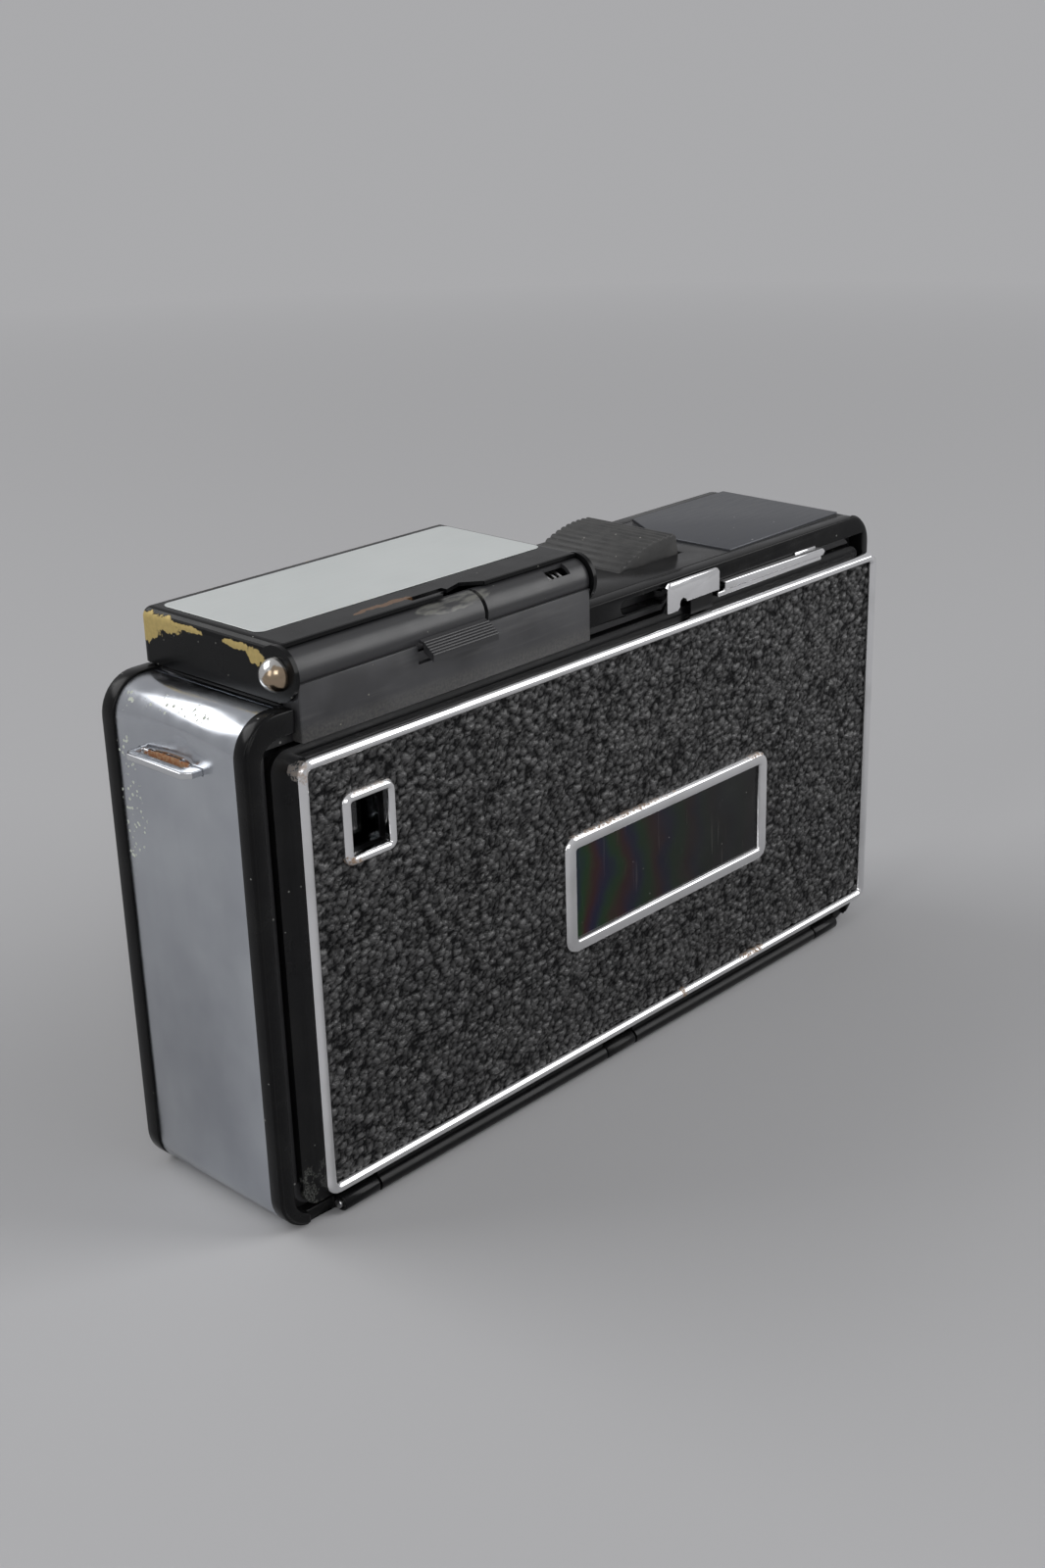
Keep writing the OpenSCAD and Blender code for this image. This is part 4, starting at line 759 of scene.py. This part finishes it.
def leather_sheet(name, node, holes, spacing, facing, round_hole=None):
    """A pebbled sheet in place of a CAD leatherette, with holes where other nodes stand.

    It faces the rear where facing is 1, and the front where it is -1.
    """
    low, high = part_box(node)
    size = high - low
    shape = grid_mesh(size.x, size.z, round(size.x / spacing), round(size.z / spacing))
    bmesh.ops.rotate(shape, cent=(0, 0, 0), matrix=Matrix.Rotation(facing * math.pi / 2, 3, "X"),
                     verts=shape.verts)
    surface = low.y if facing > 0 else high.y
    middle = Vector(((low.x + high.x) / 2, surface, (low.z + high.z) / 2))
    bmesh.ops.translate(shape, vec=middle, verts=shape.verts)
    for hole in holes:
        hole_low, hole_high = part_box(hole)
        under = Vector((UNDER_FRAME, 0, UNDER_FRAME))
        cut_hole(shape, hole_low + under, hole_high - under)
    if round_hole is not None:
        middle = sum(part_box(round_hole), Vector()) / 2
        rim = min(math.hypot(v.co.x - middle.x, v.co.z - middle.z) for v in NODES[node].data.vertices)
        cut_disc(shape, middle, rim)
    tops = shape.verts.layers.float.new("tops")
    for vertex in shape.verts:
        height = pebble(vertex.co)
        vertex[tops] = height
        vertex.co.y -= facing * (height * PEBBLE_HEIGHT - FOOT_DEPTH) * MM
    rim = [edge for edge in shape.edges if edge.is_boundary]
    wall = bmesh.ops.extrude_edge_only(shape, edges=rim)["geom"]
    skirt = [part for part in wall if isinstance(part, bmesh.types.BMVert)]
    bmesh.ops.translate(shape, vec=(0, facing * EDGE_DEPTH, 0), verts=skirt)
    piece = finish_mesh(name, shape, smooth=True)
    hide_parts(node)
    return piece


def add_leather(material):
    """Adds the leatherettes of the door and of the front."""
    noise.seed_set(GRAIN_SEED)
    door = leather_sheet("door_leather", "door_leatherette", ["film_window_frame", "eyepiece_frame"],
                         DOOR_SPACING, 1)
    door.data.materials.append(material)
    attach(door, "back_door")
    front = leather_sheet("front_leather", "front_leatherette", ["finder_frame"],
                          FRONT_SPACING, -1, "lens_barrel")
    front.data.materials.append(material)
    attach(front, "camera_body")


# Radius in mm of the rounded edges of each pressed, moulded or cut piece
SOFT_EDGES = {
    "rear_rim": 0.18, "front_rim": 0.18, "left_band": 0.12, "right_band": 0.12, "top_cover": 0.15,
    "flash_pan": 0.2, "shutter_key": 0.18, "top_inlay": 0.08, "lid_plate": 0.1, "door_latch": 0.12,
    "door_leaf": 0.12, "strap_lug": 0.12, "door_trim": 0, "film_window_frame": 0.12, "eyepiece_frame": 0.12,
}
# An edge is rounded where its faces turn by more than this, and shaded sharp past the second angle
ROUNDED_ANGLE = math.radians(35)
SHARP_ANGLE = math.radians(40)
# Points closer than this are merged, and faces that turn by less than this become one
MERGE_DISTANCE = 0.002 * MM
FLAT_ANGLE = math.radians(0.4)
# How much of its height the lid's plate keeps
PLATE_HEIGHT_KEPT = 0.35


def soften(node, radius):
    """A copy of a CAD node with its sharp edges rounded, in the node's place."""
    shape = bmesh.new()
    shape.from_mesh(NODES[node].data)
    bmesh.ops.remove_doubles(shape, verts=shape.verts, dist=MERGE_DISTANCE)
    bmesh.ops.dissolve_limit(shape, angle_limit=FLAT_ANGLE, verts=shape.verts, edges=shape.edges)
    if radius:
        sharp = [edge for edge in shape.edges
                 if edge.is_manifold and edge.calc_face_angle(0) > ROUNDED_ANGLE]
        bmesh.ops.bevel(shape, geom=sharp, offset=radius * MM, offset_type="OFFSET", segments=2,
                        profile=0.5, affect="EDGES", clamp_overlap=False, material=-1)
    bmesh.ops.triangulate(shape, faces=[face for face in shape.faces if len(face.verts) > 4])
    piece = finish_mesh(node + "_soft", shape, smooth=True)
    piece.data.set_sharp_from_angle(angle=SHARP_ANGLE)
    for finish in NODES[node].data.materials:
        piece.data.materials.append(finish)
    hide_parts(node)
    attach(piece, NODES[node]["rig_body"])
    return piece


def thin_plate(plate):
    """Makes the lid's plate thinner, with its foot where it was."""
    foot = min(vertex.co.z for vertex in plate.data.vertices)
    for vertex in plate.data.vertices:
        vertex.co.z = foot + (vertex.co.z - foot) * PLATE_HEIGHT_KEPT


def dress(materials):
    """Gives each CAD node its finish."""
    for finish, names in materials:
        for name in names.split():
            slots = NODES[name].data.materials
            slots.clear()
            slots.append(finish)


def main():
    add_view()
    add_studio()
    black_leather = leather()
    dress([
        (enamel("black_enamel", (0.006, 0.006, 0.0065, 1), 0.16, 0.03, 0.16),
         "front_rim rear_rim top_cover"),
        (enamel("satin_black", (0.005, 0.005, 0.0055, 1), 0.30, 0.04, 0.3), "shutter_plate"),
        (band_chrome(), "left_band base_plate right_band"),
        (lug_chrome(), "strap_lug"),
        (trim_chrome(), "lens_front_ring ring_retainer finder_frame advance_lever door_trim "
                        "film_window_frame eyepiece_frame door_latch door_leaf"),
        (dark_inlay(), "top_inlay"),
        (moulding("black_moulding", (0.013, 0.013, 0.014, 1), 0.5),
         "left_housing film_chamber chamber_floor top_deck front_panel lens_barrel bulb_socket film_gate"),
        (moulding("pale_plastic", (0.55, 0.55, 0.52, 1), 0.35), "drive_fork release_rod"),
        (black_leather, "front_leatherette"),
        (clear_glass("lens_glass", (0.80, 0.88, 0.97, 1)), "front_lens rear_lens finder_lens"),
        # The eyepiece glass is tinted dark as painted shade for the unlit finder behind it; the real glass
        # is clear.
        (clear_glass("eyepiece_glass_painted_shade", (0.12, 0.13, 0.14, 1)), "eyepiece_lens"),
        (window_glass(), "film_window_glass"),
        (satin_plate(), "lid_plate setting_ring"),
        (panel_black(), "door_panel"),
        (hinge_black(), "spring_sleeve ejector_sleeve"),
        (pan_black(), "flash_pan"),
        (worn_lid(), "lid_shell"),
        (pin_steel(), "flash_hinge_pin"),
        (metal("steel", (0.60, 0.60, 0.60, 1), 0.25),
         "shutter_blade gate_screws film_feeler base_screws lever_screw lid_spring "
         "key_pivot_pin door_hinge_pin cartridge_spring"),
        (metal("brass", (0.62, 0.47, 0.20, 1), 0.25),
         "blade_pivot tripod_bush bulb_contacts battery_contacts"),
        (metal("reflector", (0.88, 0.88, 0.88, 1), 0.08), "reflector"),
        (metal("battery_case", (0.32, 0.33, 0.34, 1), 0.35), "flash_battery"),
        (key_plastic(), "shutter_key"),
        (felt(), "window_seal"),
    ])
    add_leather(black_leather)
    soft = {node: soften(node, radius) for node, radius in SOFT_EDGES.items()}
    thin_plate(soft["lid_plate"])


main()
